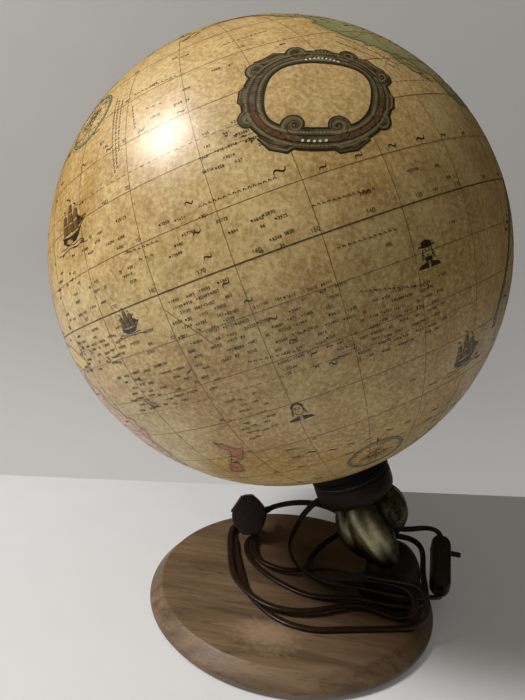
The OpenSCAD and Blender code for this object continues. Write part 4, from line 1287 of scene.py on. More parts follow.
class Layer:
    """One ink of the print: strokes and filled shapes gathered into one thin raised skin on the sphere."""

    sunk: float = 0.05    # how far the skin reaches into the sphere, in millimetres

    def __init__(self, name: str, finish: Finish, lift: float) -> None:
        """Starts an empty layer.

        Args:
            name: the piece's name.
            finish: the ink.
            lift: how far it stands above the sphere, in millimetres.
        """
        self.name, self.finish, self.lift = name, finish, lift
        self.spots: list[np.ndarray] = []
        self.faces: list[tuple[int, ...]] = []
        self.count = 0

    def add(self, spots: np.ndarray, faces: list[tuple[int, ...]]) -> None:
        """Adds points and the faces between them, numbered from the layer's first point."""
        self.spots.append(spots)
        self.faces += faces
        self.count += len(spots)

    def stroke(self, line: np.ndarray, width: float | np.ndarray, closed: bool = False) -> None:
        """Adds a pen stroke.

        Args:
            line: unit vectors along its middle.
            width: its width in millimetres, one for all or one for each point.
            closed: whether its last point is its first.
        """
        if len(line) < 2:
            return
        half = sideways(line, closed) * (np.broadcast_to(width, len(line))[:, None] / 2) / GLOBE_R
        at = self.count + 2 * np.arange(len(line) - 1)
        self.add(np.stack([line - half, line + half], axis=1).reshape(-1, 3),
                 [(k, k + 2, k + 3, k + 1) for k in at.tolist()])

    def fill(self, edge: np.ndarray) -> None:
        """Adds a filled shape inside a small closed outline.

        Args:
            edge: unit vectors round the outline, either way round.
        """
        middle = edge.mean(axis=0)
        winding = np.cross(edge - middle, np.roll(edge, -1, axis=0) - middle).sum(axis=0)
        self.add(edge[::-1] if winding @ middle < 0 else edge, [tuple(range(self.count, self.count + len(edge)))])

    def build(self) -> None:
        """Makes the skin, gives it its thickness, and fixes it to the globe."""
        obj = from_points(self.name, unit(np.vstack(self.spots)) * (GLOBE_R + self.lift), self.faces)
        modify(obj, "SOLIDIFY", thickness=self.lift + self.sunk, offset=-1.0)
        finish_piece(obj, self.finish, Body.GLOBE, place=SPHERE, angle=30)


class Pad:
    """A small flat drawing board laid on the sphere."""

    def __init__(self, lon: float, lat: float, tilt: float = 0.0, scale: float = 1.0) -> None:
        """Lays the board at a place.

        Args:
            lon: its longitude.
            lat: its printed latitude.
            tilt: its x direction, in degrees from local east towards north.
            scale: the size of its unit, in millimetres.
        """
        self.out = on_sphere(np.array([[lon, lat]], float))[0]
        self.scale = scale
        east = np.array([-self.out[1], self.out[0], 0.0])
        east /= np.linalg.norm(east)
        north = np.cross(self.out, east)
        a = math.radians(tilt)
        self.x = east * math.cos(a) + north * math.sin(a)
        self.y = north * math.cos(a) - east * math.sin(a)

    def lay(self, points: list | np.ndarray, at: tuple[float, float] = (0, 0)) -> np.ndarray:
        """Lays points of the board on the sphere.

        Args:
            points: (x, y) points in the board's unit.
            at: how far they are moved, in millimetres.

        Returns:
            Their unit vectors.
        """
        p = np.asarray(points, float).reshape(-1, 2) * self.scale + at
        return unit(self.out * GLOBE_R + p[:, :1] * self.x + p[:, 1:] * self.y)


def arc(x: float, y: float, r: float, start: float, end: float, count: int = 12, squash: float = 1.0) -> np.ndarray:
    """Returns count points of an arc round (x, y), its angles in degrees; squash scales its height."""
    a = np.radians(np.linspace(start, end, count))
    return np.stack([x + r * np.cos(a), y + squash * r * np.sin(a)], axis=1)


def dot(x: float, y: float, r: float) -> np.ndarray:
    """Returns the seven corners of a small round dot at (x, y)."""
    return arc(x, y, r, 0, 324, 7)


def curl(start: float, turns: float, big: float, small: float, count: int = 30) -> np.ndarray:
    """Draws a spiral round the middle.

    Args:
        start: the angle at which it starts, in degrees.
        turns: how many times it goes round.
        big: the radius at its start.
        small: the radius at its end.
        count: the number of points.

    Returns:
        Its points.
    """
    t = np.linspace(0, 1, count)
    a = np.radians(start) + t * turns * 2 * math.pi
    r = big * (small / big) ** t
    return np.stack([r * np.cos(a), r * np.sin(a)], axis=1)


# The ten digits as pen strokes, in a box one wide and 1.6 tall
DIGITS = ("0.3 0 0 0.5 0 1.1 0.3 1.6 0.7 1.6 1 1.1 1 0.5 0.7 0 0.3 0", "0.2 1.2 0.6 1.6 0.6 0",
          "0 1.2 0.3 1.6 0.8 1.6 1 1.2 0.8 0.8 0 0 1 0", "0 1.5 0.8 1.6 0.9 1.2 0.4 0.9 1 0.6 0.8 0.1 0 0.1",
          "0.8 0 0.8 1.6 0 0.5 1 0.5", "0.9 1.6 0.2 1.6 0.1 0.9 0.8 0.9 1 0.4 0.6 0 0 0.1",
          "0.9 1.6 0.3 1.2 0 0.5 0.4 0 0.9 0.2 0.9 0.7 0.5 0.9 0.1 0.6", "0 1.6 1 1.6 0.4 0",
          "0.5 0.9 0.1 1.2 0.5 1.6 0.9 1.2 0.5 0.9 0 0.4 0.5 0 1 0.4 0.5 0.9",
          "0.1 0 0.7 0.4 1 1.1 0.6 1.6 0.1 1.4 0.1 0.9 0.5 0.7 0.9 1")
# The four lengths of the sea's small numbers
DEPTHS = ((15, 98), (105, 980), (1050, 9800), (10500, 98000))
# Where they stand: (west, east, south, north, how many, digits' width in millimetres)
CLUSTERS = (
    (-165, -153, 16.5, 27, 16, 1.15), (148, 179, 2, 17, 40, 1.2), (146, 176, -11, 0, 44, 1.15),
    (-179, -166, -10, 0, 24, 1.2), (-174, -165, -17, -9, 20, 1.25), (-179, -174, -22, -8, 20, 1.15),
    (160, 180, -23, -12, 34, 1.15), (-164, -148, -24, -8, 42, 1.15), (-150, -128, -26, -13, 58, 1.15),
    (-178, -168, -36, -23, 20, 1.1), (-160, -154, 0, 8, 8, 1.2), (-150, -120, -8, 8, 7, 1.2),
    (-178, -160, 5, 15, 8, 1.2), (-175, -140, 28, 50, 12, 1.2), (150, 178, 20, 50, 12, 1.2),
    (-140, -105, -60, -28, 14, 1.2), (-175, -140, -60, -38, 12, 1.2), (-60, -20, -50, 55, 44, 1.2),
    (-10, 8, -45, 2, 16, 1.2), (55, 95, -45, 8, 44, 1.2), (125, 140, 8, 28, 16, 1.15),
    (-85, -62, 12, 24, 14, 1.1), (100, 112, -45, -12, 12, 1.2), (-105, -84, -50, 4, 20, 1.2),
    (20, 55, -62, -38, 14, 1.2), (-45, 20, 58, 72, 16, 1.2), (60, 160, -62, -45, 30, 1.2))
# Rows of little waves, each from its first place to its second
ROWS = ("-167.4 11.7 -154.1 11.6", "-145.5 14.4 -135 13.9", "-149.7 4.9 -139 4.4", "-148 -3.7 -137.6 -4",
        "-146.5 -13 -133.5 -16.3", "177.3 9.2 183.1 9", "178.9 7.2 181.4 7", "-178.1 41.3 -166.6 40.3",
        "-174.2 35.3 -170.9 34.8", "-152.7 44.2 -141.5 44.7", "174.8 43.8 176.5 25.3", "177.4 41.7 177.8 29.5",
        "181.4 37.9 182.3 32.4", "176.1 42.5 177.2 26", "-168.8 -18.6 -159.7 -19.6", "-126 38 -118 28",
        "-128 36 -119 26.5", "-40 38 -22 45", "-38 12 -24 10", "-30 -3 -14 -4", "60 -12 82 -14", "70 2 88 1",
        "-20 -20 -4 -14", "140 38 158 40", "-105 -20 -92 -12", "55 -42 80 -44", "100 -48 130 -50")
# Large single waves along the great routes, and the numbers of the largest of them
BIG = ("166 31.2 175.2 30.7 -175.7 30.7 -166.3 30.6 -169.1 12.9 -169.2 7.5 -168.7 2.8 -167.3 -2.9 -164.9 -7.6 "
       "-162 -12.3 -160 -17.3 -157.2 -21.2 -154.6 -24.6 -152.8 12.3 -145.8 10.7 -139 10.8 -132.2 10.8 "
       "-125.3 10.7 -118.8 10.7 -111.4 10.5 -166 -44.9 -160.5 -46.2 -155.3 -46.2 -150 -46.8 -143.8 -46.6 "
       "-138.1 -46.6 -127.4 -47.2 -120.6 -47.5 -45 28 -38 30 -31 31 -24 31 -30 -30 -22 -31 -14 -31 -6 -30 "
       "68 -28 76 -29 84 -29 92 -28")
LARGEST = (13, 17, 20, 26)
# Curls of the scrolled frame's right half: (x, y, which way up, start angle, turns, radius)
CURLS = ((29.8, 16.5, 1, 210, 1.3, 5.2), (30.4, -13, -1, 200, 1.2, 4.8), (12, 27.6, 1, 180, 1.4, 6.2),
         (9.5, -17.5, 1, 270, 1.3, 5.6))
# Its leaves: four places along each, and their widths
LEAVES = (((16, 25.5), (22, 25), (27, 21.5), (32, 21), (2.0, 4.2, 3.4, 0.8)),
          ((6, -26.4), (12, -29), (19, -27), (25, -22.5), (1.0, 3.6, 3.8, 1.2)),
          ((31.8, 7), (34.6, 3), (34.6, -2.5), (32, -6), (1.4, 3.4, 3.4, 1.4)))
# Small drawings: (longitude, latitude, size in millimetres, tilt)
ROSES = ((163.2, 43.6, 16.5, 8), (-147.5, -54.8, 16.0, 0), (-32.0, 18.0, 15.0, 0))
SHIPS = ((160.6, 17.2, 24, 0), (171.0, -5.0, 12.5, 0), (-121.4, -36.6, 21, 8), (-22, -38, 20, 0),
         (78, -18, 20, 0), (-48, 44, 15, 0))


@dataclass
class Globe:
    """The lit sphere: two printed shells, and the inks laid on them."""

    wall: float = 1.6
    seam: float = 0.2
    hole_r: float = 22.6
    segments: int = 600
    frame_at: tuple[float, float] = (3.6, -6.0)
    frame_size: tuple[float, float] = (30.0, 24.5)
    frame_lean: float = 0.17
    rings: int = 145
    seed: int = 41
    reach: float = 0.75       # how near two countries' middles are for a border between them
    mark_gap: float = 1.9     # between the short strokes beside the coasts, in millimetres
    cell: tuple[float, float] = (2.9, 1.45)    # of the grid that the depth numbers stand in, in degrees
    towns: int = 330

    def __post_init__(self) -> None:
        """Draws the coasts and starts the inks, the lowest first."""
        self.rng = random.Random(self.seed)
        self.frame_pad = Pad(-141.0, 27.0, -20.5)
        self.coasts = {name: self.crinkle(places(text)) for name, text in LANDS.items()}
        self.middles = on_sphere(np.vstack([places(text) for text in WASHES.values()]))
        self.line_ink = Layer("fine_brown_print", INK_BROWN, 0.08)
        self.dark_ink = Layer("dark_print", INK_BLACK, 0.11)
        self.number_ink = Layer("number_print", INK_BLACK, 0.1)
        self.coast_ink = Layer("coast_print", INK_BLACK, 0.09)
        self.shade_ink = Layer("ornament_ground_print", SCROLL_DARK, 0.13)
        self.scroll_ink = Layer("ornament_bronze_print", SCROLL_BRONZE, 0.17)
        self.pale_ink = Layer("ornament_pale_print", SCROLL_PALE, 0.19)
        self.engraved_ink = Layer("ornament_engraved_print", SCROLL_DARK, 0.2)
        self.accent_ink = Layer("ornament_red_print", SCROLL_RED, 0.22)
        self.white_ink = Layer("ornament_white_print", PRINT_WHITE, 0.24)
        self.green_ink = Layer("rose_green_print", PRINT_GREEN, 0.1)
        self.teal_ink = Layer("pennant_teal_print", PRINT_TEAL, 0.1)

    def crinkle(self, outline: np.ndarray) -> np.ndarray:
        """Breaks each stretch of a closed outline into small bays and capes.

        Args:
            outline: its places, without the first again at the end.

        Returns:
            The finer outline.
        """
        points = [tuple(p) for p in outline]
        while True:
            out, longest = [], 0.0
            for a, b in zip(points, points[1:] + points[:1]):
                out.append(a)
                flat = math.cos(math.radians((a[1] + b[1]) / 2))
                dx, dy = (b[0] - a[0]) * flat, b[1] - a[1]
                size = math.hypot(dx, dy)
                if size < CRINKLED or on_edge(a, b):
                    continue
                longest = max(longest, size)
                push = self.rng.gauss(0, 0.13)
                out.append(((a[0] + b[0]) / 2 - dy * push / max(flat, 0.2), (a[1] + b[1]) / 2 + dx * push))
            points = out
            if longest < 2 * CRINKLED:
                return np.array(points)

    def inside(self, spots: np.ndarray) -> np.ndarray:
        """Tells land from sea.

        Args:
            spots: places, one a row.

        Returns:
            Which of them are on land.
        """
        land = np.zeros(len(spots), bool)
        for coast in self.coasts.values():
            low, high = coast.min(axis=0), coast.max(axis=0)
            near = np.nonzero(((spots >= low) & (spots <= high)).all(axis=1))[0]
            if not len(near):
                continue
            x, y = spots[near, 0], spots[near, 1]
            odd = np.zeros(len(near), bool)
            for (x0, y0), (x1, y1) in zip(coast, np.roll(coast, -1, axis=0)):
                if y0 != y1:
                    odd ^= ((y0 > y) != (y1 > y)) & (x < (x1 - x0) * (y - y0) / (y1 - y0) + x0)
            land[near[odd]] = True
        return land

    @staticmethod
    def wander(vectors: np.ndarray) -> np.ndarray:
        """Returns the small smooth shift that bends the countries' borders."""
        return 0.03 * np.sin(11 * np.roll(vectors, 1, axis=1) + 3) + 0.012 * np.sin(37 * np.roll(vectors, 2, axis=1))

    def shell(self, upper: bool) -> None:
        """Makes one half of the sphere as a closed wall, and washes its lands with colour.

        Args:
            upper: True for the half with the upper pole.
        """
        deselect()
        bpy.ops.mesh.primitive_grid_add(x_subdivisions=self.segments, y_subdivisions=self.rings, size=2.0)
        obj = bpy.context.object
        obj.name = obj.data.name = "upper_printed_shell" if upper else "lower_printed_shell"
        sign = 1 if upper else -1
        inner = GLOBE_R - self.wall
        edge = sign * self.seam / 2
        last = 0.6 if upper else self.hole_r
        rim = -math.sqrt(GLOBE_R ** 2 - self.hole_r ** 2)
        # The flat grid is wrapped into a ball that is open at the seam
        spots = mesh_points(obj.data)
        low = math.asin(edge / GLOBE_R)
        high = math.pi / 2 if upper else math.asin(rim / GLOBE_R)
        lat = low + (high - low) * (spots[:, 1] + 1) / 2
        lon = math.pi * spots[:, 0]
        ball = GLOBE_R * np.stack([np.cos(lat) * np.cos(lon), np.cos(lat) * np.sin(lon), np.sin(lat)], axis=1)
        obj.data.vertices.foreach_set("co", ball.ravel())
        with editing():
            bpy.ops.mesh.remove_doubles(threshold=0.001)
        for part in (obj.data.polygons, obj.data.edges, obj.data.vertices):
            part.foreach_set("select", np.zeros(len(part), bool))
        flat = np.array([abs(v.co.z - edge) < 0.01 for v in obj.data.vertices])
        obj.data.vertices.foreach_set("select", flat)
        obj.data.edges.foreach_set("select", [bool(flat[e.vertices[0]] and flat[e.vertices[1]])
                                              for e in obj.data.edges])
        # Its edge is extruded inwards and over to the pole or the neck's hole, for the wall
        path = [(inner * math.cos(a), sign * inner * math.sin(a))
                for a in np.linspace(0.001, math.acos(last / inner), 13)]
        if not upper:
            path.append((self.hole_r, rim))
        radius, height = math.sqrt(GLOBE_R ** 2 - edge ** 2), edge
        with editing(everything=False):
            for r, z in path:
                bpy.ops.mesh.extrude_region_move(TRANSFORM_OT_translate={"value": (0, 0, z - height)})
                bpy.ops.transform.resize(value=(r / radius, r / radius, 1), center_override=(0, 0, z))
                radius, height = r, z
            if upper:
                bpy.ops.mesh.merge(type="CENTER")
            bpy.ops.mesh.select_all(action="SELECT")
            bpy.ops.mesh.remove_doubles(threshold=0.02)
            bpy.ops.mesh.normals_make_consistent(inside=False)
        self.wash(obj.data)
        finish_piece(obj, PARCHMENT, Body.GLOBE,
                     ("upper_hemisphere" if upper else "lower_hemisphere",), SPHERE, 40)

    def wash(self, mesh: bpy.types.Mesh) -> None:
        """Gives each point of a shell its distance from the coast, inland positive, and its colour.

        Args:
            mesh: the shell's mesh.
        """
        spots = unit(mesh_points(mesh))
        land = self.inside(on_map(spots))
        shore = np.vstack([drawn(np.vstack([coast, coast[:1]]), 0.5) for coast in self.coasts.values()])
        tree = KDTree(len(shore))
        for k, spot in enumerate(shore):
            tree.insert(spot, k)
        tree.balance()
        far = np.array([tree.find(spot)[2] for spot in spots]) * GLOBE_R
        inland = mesh.attributes.new("land", "FLOAT", "POINT")
        inland.data.foreach_set("value", np.where(land, far, -far).astype(np.float32))
        colours = [linear(code) for code, text in WASHES.items() for _ in places(text)]
        moved = spots + self.wander(spots)
        nearest = np.concatenate([np.argmax(part @ self.middles.T - (self.middles ** 2).sum(axis=1) / 2, axis=1)
                                  for part in np.array_split(moved, 20)])
        tint = mesh.attributes.new("wash", "FLOAT_COLOR", "POINT")
        tint.data.foreach_set("color", np.array(colours, np.float32)[nearest].ravel())

    def borders(self) -> None:
        """Draws the lines between neighbouring countries, where they run over land."""
        sweep = np.linspace(-0.4, 0.4, 161)[:, None]
        found = []
        for i, a in enumerate(self.middles):
            for b in self.middles[i + 1:]:
                gap = float(np.linalg.norm(a - b))
                if gap > self.reach:
                    continue
                middle = (a + b) / np.linalg.norm(a + b)
                line = middle * np.cos(sweep) + np.cross((a - b) / gap, middle) * np.sin(sweep)
                mine = line @ a >= (line @ self.middles.T).max(axis=1) - 1e-9
                found.append((unit(line - self.wander(line)), mine))
        land = self.inside(on_map(np.vstack([line for line, _ in found]))).reshape(-1, len(sweep))
        for (line, mine), dry in zip(found, land):
            for run in runs(mine & dry):
                if len(run) > 3:
                    for k in range(0, len(run) - 1, 3):
                        self.line_ink.stroke(line[run[k:k + 3]], 0.3)

    def bare(self, line: np.ndarray) -> np.ndarray:
        """Tells what lies inside the scrolled frame.

        Args:
            line: unit vectors, one a row.

        Returns:
            Which of them lie inside it.
        """
        q = line / (line @ self.frame_pad.out)[:, None] * GLOBE_R
        y = q @ self.frame_pad.y - self.frame_at[1]
        x = q @ self.frame_pad.x - self.frame_at[0] - self.frame_lean * y
        return ((x / self.frame_size[0]) ** 2 + (y / self.frame_size[1]) ** 2 < 1) & (line @ self.frame_pad.out > 0)

    def rule(self, start: tuple[float, float], end: tuple[float, float], width: float, step: float = 1.0) -> None:
        """Draws a thin line with a gap where the scrolled frame is.

        Args:
            start: the place where it starts.
            end: the place where it ends.
            width: its width in millimetres.
            step: the most degrees between its points.
        """
        line = drawn(np.array([start, end], float), step)
        for run in runs(~self.bare(line)):
            self.line_ink.stroke(line[run], width)

    def graticule(self) -> None:
        """Draws the meridians, the parallels, the dashed tropics and the double equator."""
        for lon in range(-180, 180, 15):
            self.rule((lon, -80), (lon, 80), 0.26)
        for lat in [*range(-80, 0, 10), *range(10, 90, 10)]:
            self.rule((-180, lat), (180, lat), 0.26)
        for lat in (-66.5, -23.5, 23.5, 66.5):
            for lon in np.arange(-180, 180, 1.5):
                self.rule((lon, lat), (lon + 0.9, lat), 0.24, 0.3)
        for lat in (-0.1, 0.1):
            self.dark_ink.stroke(drawn(np.array([[-180.0, lat], [180.0, lat]]), 1.5), 0.13, closed=True)
        for lon in range(-180, 180, 10):
            shown = abs(lon)
            self.number(lon - (1.6 if shown > 99 else 1.1), 0.75, str(shown), 1.5)
        for lon in (-180, -90, 0, 90):
            for lat in [*range(-70, 0, 10), *range(10, 80, 10)]:
                self.number(lon - 1.1, lat + 0.5, str(abs(lat)), 1.4)
        self.line_ink.stroke(drawn(places("-179.8 -3.4 -176.8 -8 -173.5 -13.2")), 0.3)

    def number(self, lon: float, lat: float, text: str, size: float) -> None:
        """Writes a plain number.

        Args:
            lon: the longitude of its lower left corner.
            lat: the latitude there.
            text: its digits.
            size: how wide each digit's place is, in millimetres.
        """
        pad = Pad(lon, lat, scale=size * 0.72)
        for k, digit in enumerate(text):
            self.number_ink.stroke(pad.lay(places(DIGITS[int(digit)]), (k * size, 0)), 0.21)

    def coastlines(self) -> None:
        """Draws the coasts, with short level strokes in the sea beside them."""
        for coast in self.coasts.values():
            ring = np.vstack([coast, coast[:1]])
            start = 0
            for k, (a, b) in enumerate([*zip(ring, ring[1:]), (ring[0], ring[0])]):
                if k == len(coast) or on_edge(a, b):
                    self.coast_ink.stroke(on_sphere(ring[start:k + 1]), 0.34)
                    start = k + 1
            walk = drawn(ring, 0.45)
            run = np.concatenate([[0], np.cumsum(np.linalg.norm(np.diff(walk, axis=0), axis=1))]) * GLOBE_R
            at = np.arange(0.6, run[-1], self.mark_gap)
            spots = on_map(unit(np.stack([np.interp(at, run, walk[:, k]) for k in range(3)], axis=1)))
            spots = spots[(np.abs(spots[:, 0]) < 179.5) & (spots[:, 1] > -82)]
            if not len(spots):
                continue
            flat = 1 / np.cos(np.radians(spots[:, 1]))
            east, west = (self.inside(np.stack([spots[:, 0] + shift * flat, spots[:, 1]], axis=1))
                          for shift in (0.35, -0.35))
            for (lon, lat), wide, e, w in zip(spots, flat, east, west):
                if e != w:
                    way = (-1 if e else 1) * wide
                    size = self.rng.uniform(0.45, 1.25)
                    self.line_ink.stroke(on_sphere(np.array([[lon + 0.12 * way, lat], [lon + size * way, lat]])), 0.24)

    def relief(self) -> None:
        """Draws the rivers, the rows of small hills, and the towns, some with a number."""
        for text in RIVERS:
            self.line_ink.stroke(on_sphere(self.bent(places(text))), 0.3)
        for text in RIDGES:
            for lon, lat in on_map(drawn(places(text), 0.9))[::2]:
                pad = Pad(lon + self.rng.uniform(-0.5, 0.5), lat + self.rng.uniform(-0.3, 0.3))
                tall = self.rng.uniform(0.9, 1.5)
                hill = [(-1.1, 0), (-0.3, tall * 0.8), (0, tall), (0.4, tall * 0.6), (1.1, 0)]
                self.dark_ink.stroke(pad.lay(hill), 0.24)
                self.line_ink.stroke(pad.lay([(0.1, tall), (0.5, 0.1)]), 0.4)
        picks = np.array([(self.rng.uniform(-170, 178), self.rng.uniform(-50, 68)) for _ in range(1500)])
        for lon, lat in picks[self.inside(picks)][:self.towns]:
            self.dark_ink.stroke(Pad(lon, lat).lay(arc(0, 0, 0.42, 0, 360, 9)), 0.2, closed=True)
            if self.rng.random() < 0.5:
                self.number(lon + 0.4, lat - 0.2, str(self.rng.randint(12, 980)), 0.95)

    def bent(self, route: np.ndarray) -> np.ndarray:
        """Puts small bends into an open route.

        Args:
            route: its places.

        Returns:
            The finer route.
        """
        points = [tuple(p) for p in route]
        for _ in range(3):
            out = points[:1]
            for a, b in zip(points, points[1:]):
                push = self.rng.gauss(0, 0.12)
                out += [((a[0] + b[0]) / 2 - (b[1] - a[1]) * push, (a[1] + b[1]) / 2 + (b[0] - a[0]) * push), b]
            points = out
        return np.array(points)

    def soundings(self) -> None:
        """Scatters island dots and small depth numbers over the seas."""
        wide, tall = self.cell
        for west, east, south, north, count, size in CLUSTERS:
            cells = [(c, r) for c in range(int((east - west) / wide)) for r in range(int((north - south) / tall))]
            self.rng.shuffle(cells)
            for column, row in cells[:count]:
                lon = west + column * wide + wide / 2 * (row % 2) + self.rng.uniform(-0.6, 0.8)
                lat = south + row * tall + self.rng.uniform(0, 0.55)
                ends = np.array([[lon, lat], [lon + 1.4, lat]])
                if self.inside(ends).any() or self.bare(on_sphere(ends)).any():
                    continue
                if self.rng.random() < 0.55:
                    self.dark_ink.fill(Pad(lon - 0.35, lat + 0.3).lay(dot(0, 0, self.rng.uniform(0.3, 0.55))))
                depths = [self.rng.randint(low, high) for low, high in DEPTHS]
                self.number(lon, lat, str(self.rng.choice(depths)), size * 0.92)

    def currents(self) -> None:
        """Draws rows of little waves where the currents run, and larger ones along the great routes."""
        for text in ROWS:
            ends = places(text)
            way = on_sphere(ends)
            count = int(np.linalg.norm(way[1] - way[0]) * GLOBE_R / 2.1)
            slope = math.degrees(math.atan2(ends[1, 1] - ends[0, 1], (ends[1, 0] - ends[0, 0])
                                            * math.cos(math.radians(ends[:, 1].mean()))))
            for lon, lat in ends[0] + (ends[1] - ends[0]) * np.linspace(0, 1, count)[:, None]:
                tall = self.rng.uniform(0.75, 1.05)
                wave = [(-0.75, 0.1), (-0.35, tall), (0.15, 0.75 * tall), (0.3, 0.15), (0.8, 0.35)]
                self.number_ink.stroke(Pad(lon, lat, slope).lay(wave), 0.3)
        share = np.linspace(0, 1, 15)
        for k, (lon, lat) in enumerate(places(BIG)):
            scale = 1.5 if k in LARGEST else 1.0
            wave = np.stack([4.2 * (share - 0.5), (1.1 - 0.2 * (k % 3)) * np.sin(2 * math.pi * share) + 0.8], axis=1)
            self.dark_ink.stroke(Pad(lon, lat, 14 + 9 * (k % 4), scale).lay(wave),
                                 0.2 + 0.45 * np.sin(math.pi * share) * scale)

    def swirl(self, line: np.ndarray, width: np.ndarray | float, edge: float = 1.4) -> None:
        """Draws one band of the frame: bronze, with a dark edge and engraved lines along it.

        Args:
            line: points along its middle, in the frame's own drawing.
            width: its width in millimetres, one for all or one for each point.
            edge: the width of both dark edges together.
        """
        path = self.frame_lay(line)
        width = np.broadcast_to(width, len(path)).astype(float)
        self.shade_ink.stroke(path, width + edge)
        self.scroll_ink.stroke(path, width)
        side = sideways(path) / GLOBE_R
        self.pale_ink.stroke(path + side * (width * 0.24)[:, None], np.maximum(width * 0.17, 0.2))
        self.engraved_ink.stroke(path - side * (width * 0.2)[:, None], np.maximum(width * 0.1, 0.2))

    def frame_lay(self, points: list | np.ndarray) -> np.ndarray:
        """Lays points of the frame's own upright drawing on the sphere, leaning as the frame does.

        Args:
            points: (x, y) points in millimetres.

        Returns:
            Their unit vectors.
        """
        p = np.asarray(points, float).reshape(-1, 2)
        return self.frame_pad.lay(np.stack([p[:, 0] + self.frame_lean * p[:, 1], p[:, 1]], axis=1) + self.frame_at)

    def frame_band(self) -> None:
        """Draws the frame's oval band, with its engraved lines, red leaves and cross strokes."""
        wide, tall = self.frame_size
        a = np.linspace(0, 2 * math.pi, 145)
        bulge = np.sign(np.cos(a)) * np.abs(np.cos(a)) ** 0.82
        rise = np.sign(np.sin(a)) * np.abs(np.sin(a)) ** 0.9
        width = 7.4 + 0.9 * np.cos(4 * a) - 0.8 * np.sin(a)
        path = self.frame_lay(np.stack([wide * bulge, tall * rise], axis=1))
        self.shade_ink.stroke(path, width + 2.4, closed=True)
        self.scroll_ink.stroke(path, width, closed=True)
        side = sideways(path) / GLOBE_R
        for layer, share, line in ((self.pale_ink, 0.33, 1.0), (self.pale_ink, -0.36, 0.8),
                                   (self.engraved_ink, 0.17, 0.45), (self.engraved_ink, -0.2, 0.45)):
            layer.stroke(path + side * (width * share)[:, None], line)
        for k in range(144):
            across = side[k] * (width[k] / 2)
            low = -0.98 < math.sin(a[k]) < -0.15
            if low and k % 3 == 0:
                mid = path[k]
                along = (path[k + 1] - path[k]) / np.linalg.norm(path[k + 1] - path[k]) * (1.5 / GLOBE_R)
                self.accent_ink.fill(unit(np.array([mid - along, mid + across * 0.42, mid + along,
                                                    mid - across * 0.3])))
            elif not low:
                for start, end in ((0.45, 0.95), (-0.95, -0.5)):
                    self.engraved_ink.stroke(np.array([path[k] + across * start, path[k] + across * end]), 0.22)

    def frame_ornament(self) -> None:
        """Draws the empty scrolled frame: its band, and on it curls, leaves, a shell and beads."""
        self.frame_band()
        for x, y, up, start, turns, big in CURLS:
            for side in (-1, 1):
                spiral = curl(start, turns, big, 1.2) * (side, up) + (side * x, y)
                self.swirl(spiral, np.linspace(4.4, 1.3, len(spiral)))
        for side in (-1, 1):
            for *spots, widths in LEAVES:
                self.swirl(np.array(spots) * (side, 1), np.array(widths))
        for k in (-3, 3, -2, 2, -1, 1, 0):
            ray = np.array([(0, 22.5), (k * 1.1, 26.8), (k * 2.3, 31.2 - 0.45 * k * k)])
            self.swirl(ray, np.array([1.2, 2.4, 1.6]), 0.8)
        for k in range(-4, 5):
            self.white_ink.fill(self.frame_lay(dot(1.9 * k, 23.2 - 0.09 * k * k, 0.62)))
        for k in range(-2, 3):
            self.white_ink.fill(self.frame_lay(dot(2.6 * k, -25.6 + 0.1 * k * k, 0.7)))

    def rose(self, lon: float, lat: float, r: float, tilt: float) -> None:
        """Draws a wheel of winds: a green ring between dark ones, thirty-two rays and a small star.

        Args:
            lon: the longitude of its middle.
            lat: the latitude of its middle.
            r: its radius in millimetres.
            tilt: how far it is turned, in degrees.
        """
        pad = Pad(lon, lat, tilt)
        self.green_ink.stroke(pad.lay(arc(0, 0, r, 0, 360, 73)), 1.5, closed=True)
        for size in (r + 0.85, r - 0.85, r * 0.3):
            self.dark_ink.stroke(pad.lay(arc(0, 0, size, 0, 360, 73)), 0.3, closed=True)
        for k in range(32):
            way = np.array([math.cos(math.radians(11.25 * k)), math.sin(math.radians(11.25 * k))])
            main = k % 4 == 0
            self.dark_ink.stroke(pad.lay([way * r * (0.12 if main else 0.3), way * (r - 0.8)]), 0.45 if main else 0.22)
        for k in range(8):
            a, b = math.radians(45 * k), math.radians(45 * k + 22.5)
            tip = r * (0.62 if k % 2 == 0 else 0.42)
            star = [(tip * math.cos(a), tip * math.sin(a)), (r * 0.13 * math.cos(b), r * 0.13 * math.sin(b)), (0, 0)]
            (self.green_ink if k % 2 else self.accent_ink).fill(pad.lay(star))
        self.dark_ink.stroke(pad.lay([(0, r + 1), (0, r + 4.5)]), np.array([1.6, 0.3]))

    def sails(self, pad: Pad, x: float, top: float, wide: float) -> None:
        """Draws one mast of a ship with its sails.

        Args:
            pad: the ship's drawing board.
            x: the mast's place.
            top: its height.
            wide: half the width of its lowest sail.
        """
        self.dark_ink.stroke(pad.lay([(x, 0.1), (x + 0.01, top + 0.08)]), 0.35)
        self.dark_ink.fill(pad.lay([(x, top + 0.08), (x - 0.11, top + 0.1), (x, top + 0.03)]))
        rows = 3 if top > 0.8 else 2
        for k in range(rows):
            low = 0.17 + (top - 0.2) * k / rows
            high = 0.17 + (top - 0.2) * (k + 0.86) / rows
            w0, w1 = wide * (1 - 0.24 * k), wide * (0.82 - 0.24 * k)
            sail = np.array([(x - w0, low), (x - w0 * 0.7, (low + high) / 2), (x - w1, high), (x + w1, high),
                             (x + w1 * 1.25, (low + high) / 2), (x + w0, low), (x, low + 0.03)])
            self.line_ink.fill(pad.lay(sail))
            self.dark_ink.stroke(pad.lay(np.vstack([sail, sail[:1]])), 0.34, closed=True)
            for n in range(1, 5):
                y = low + (high - low) * n / 5
                self.dark_ink.stroke(pad.lay([(x + w0 * 0.1, y), (x + w0 * 0.95, y + 0.005)]), 0.22)

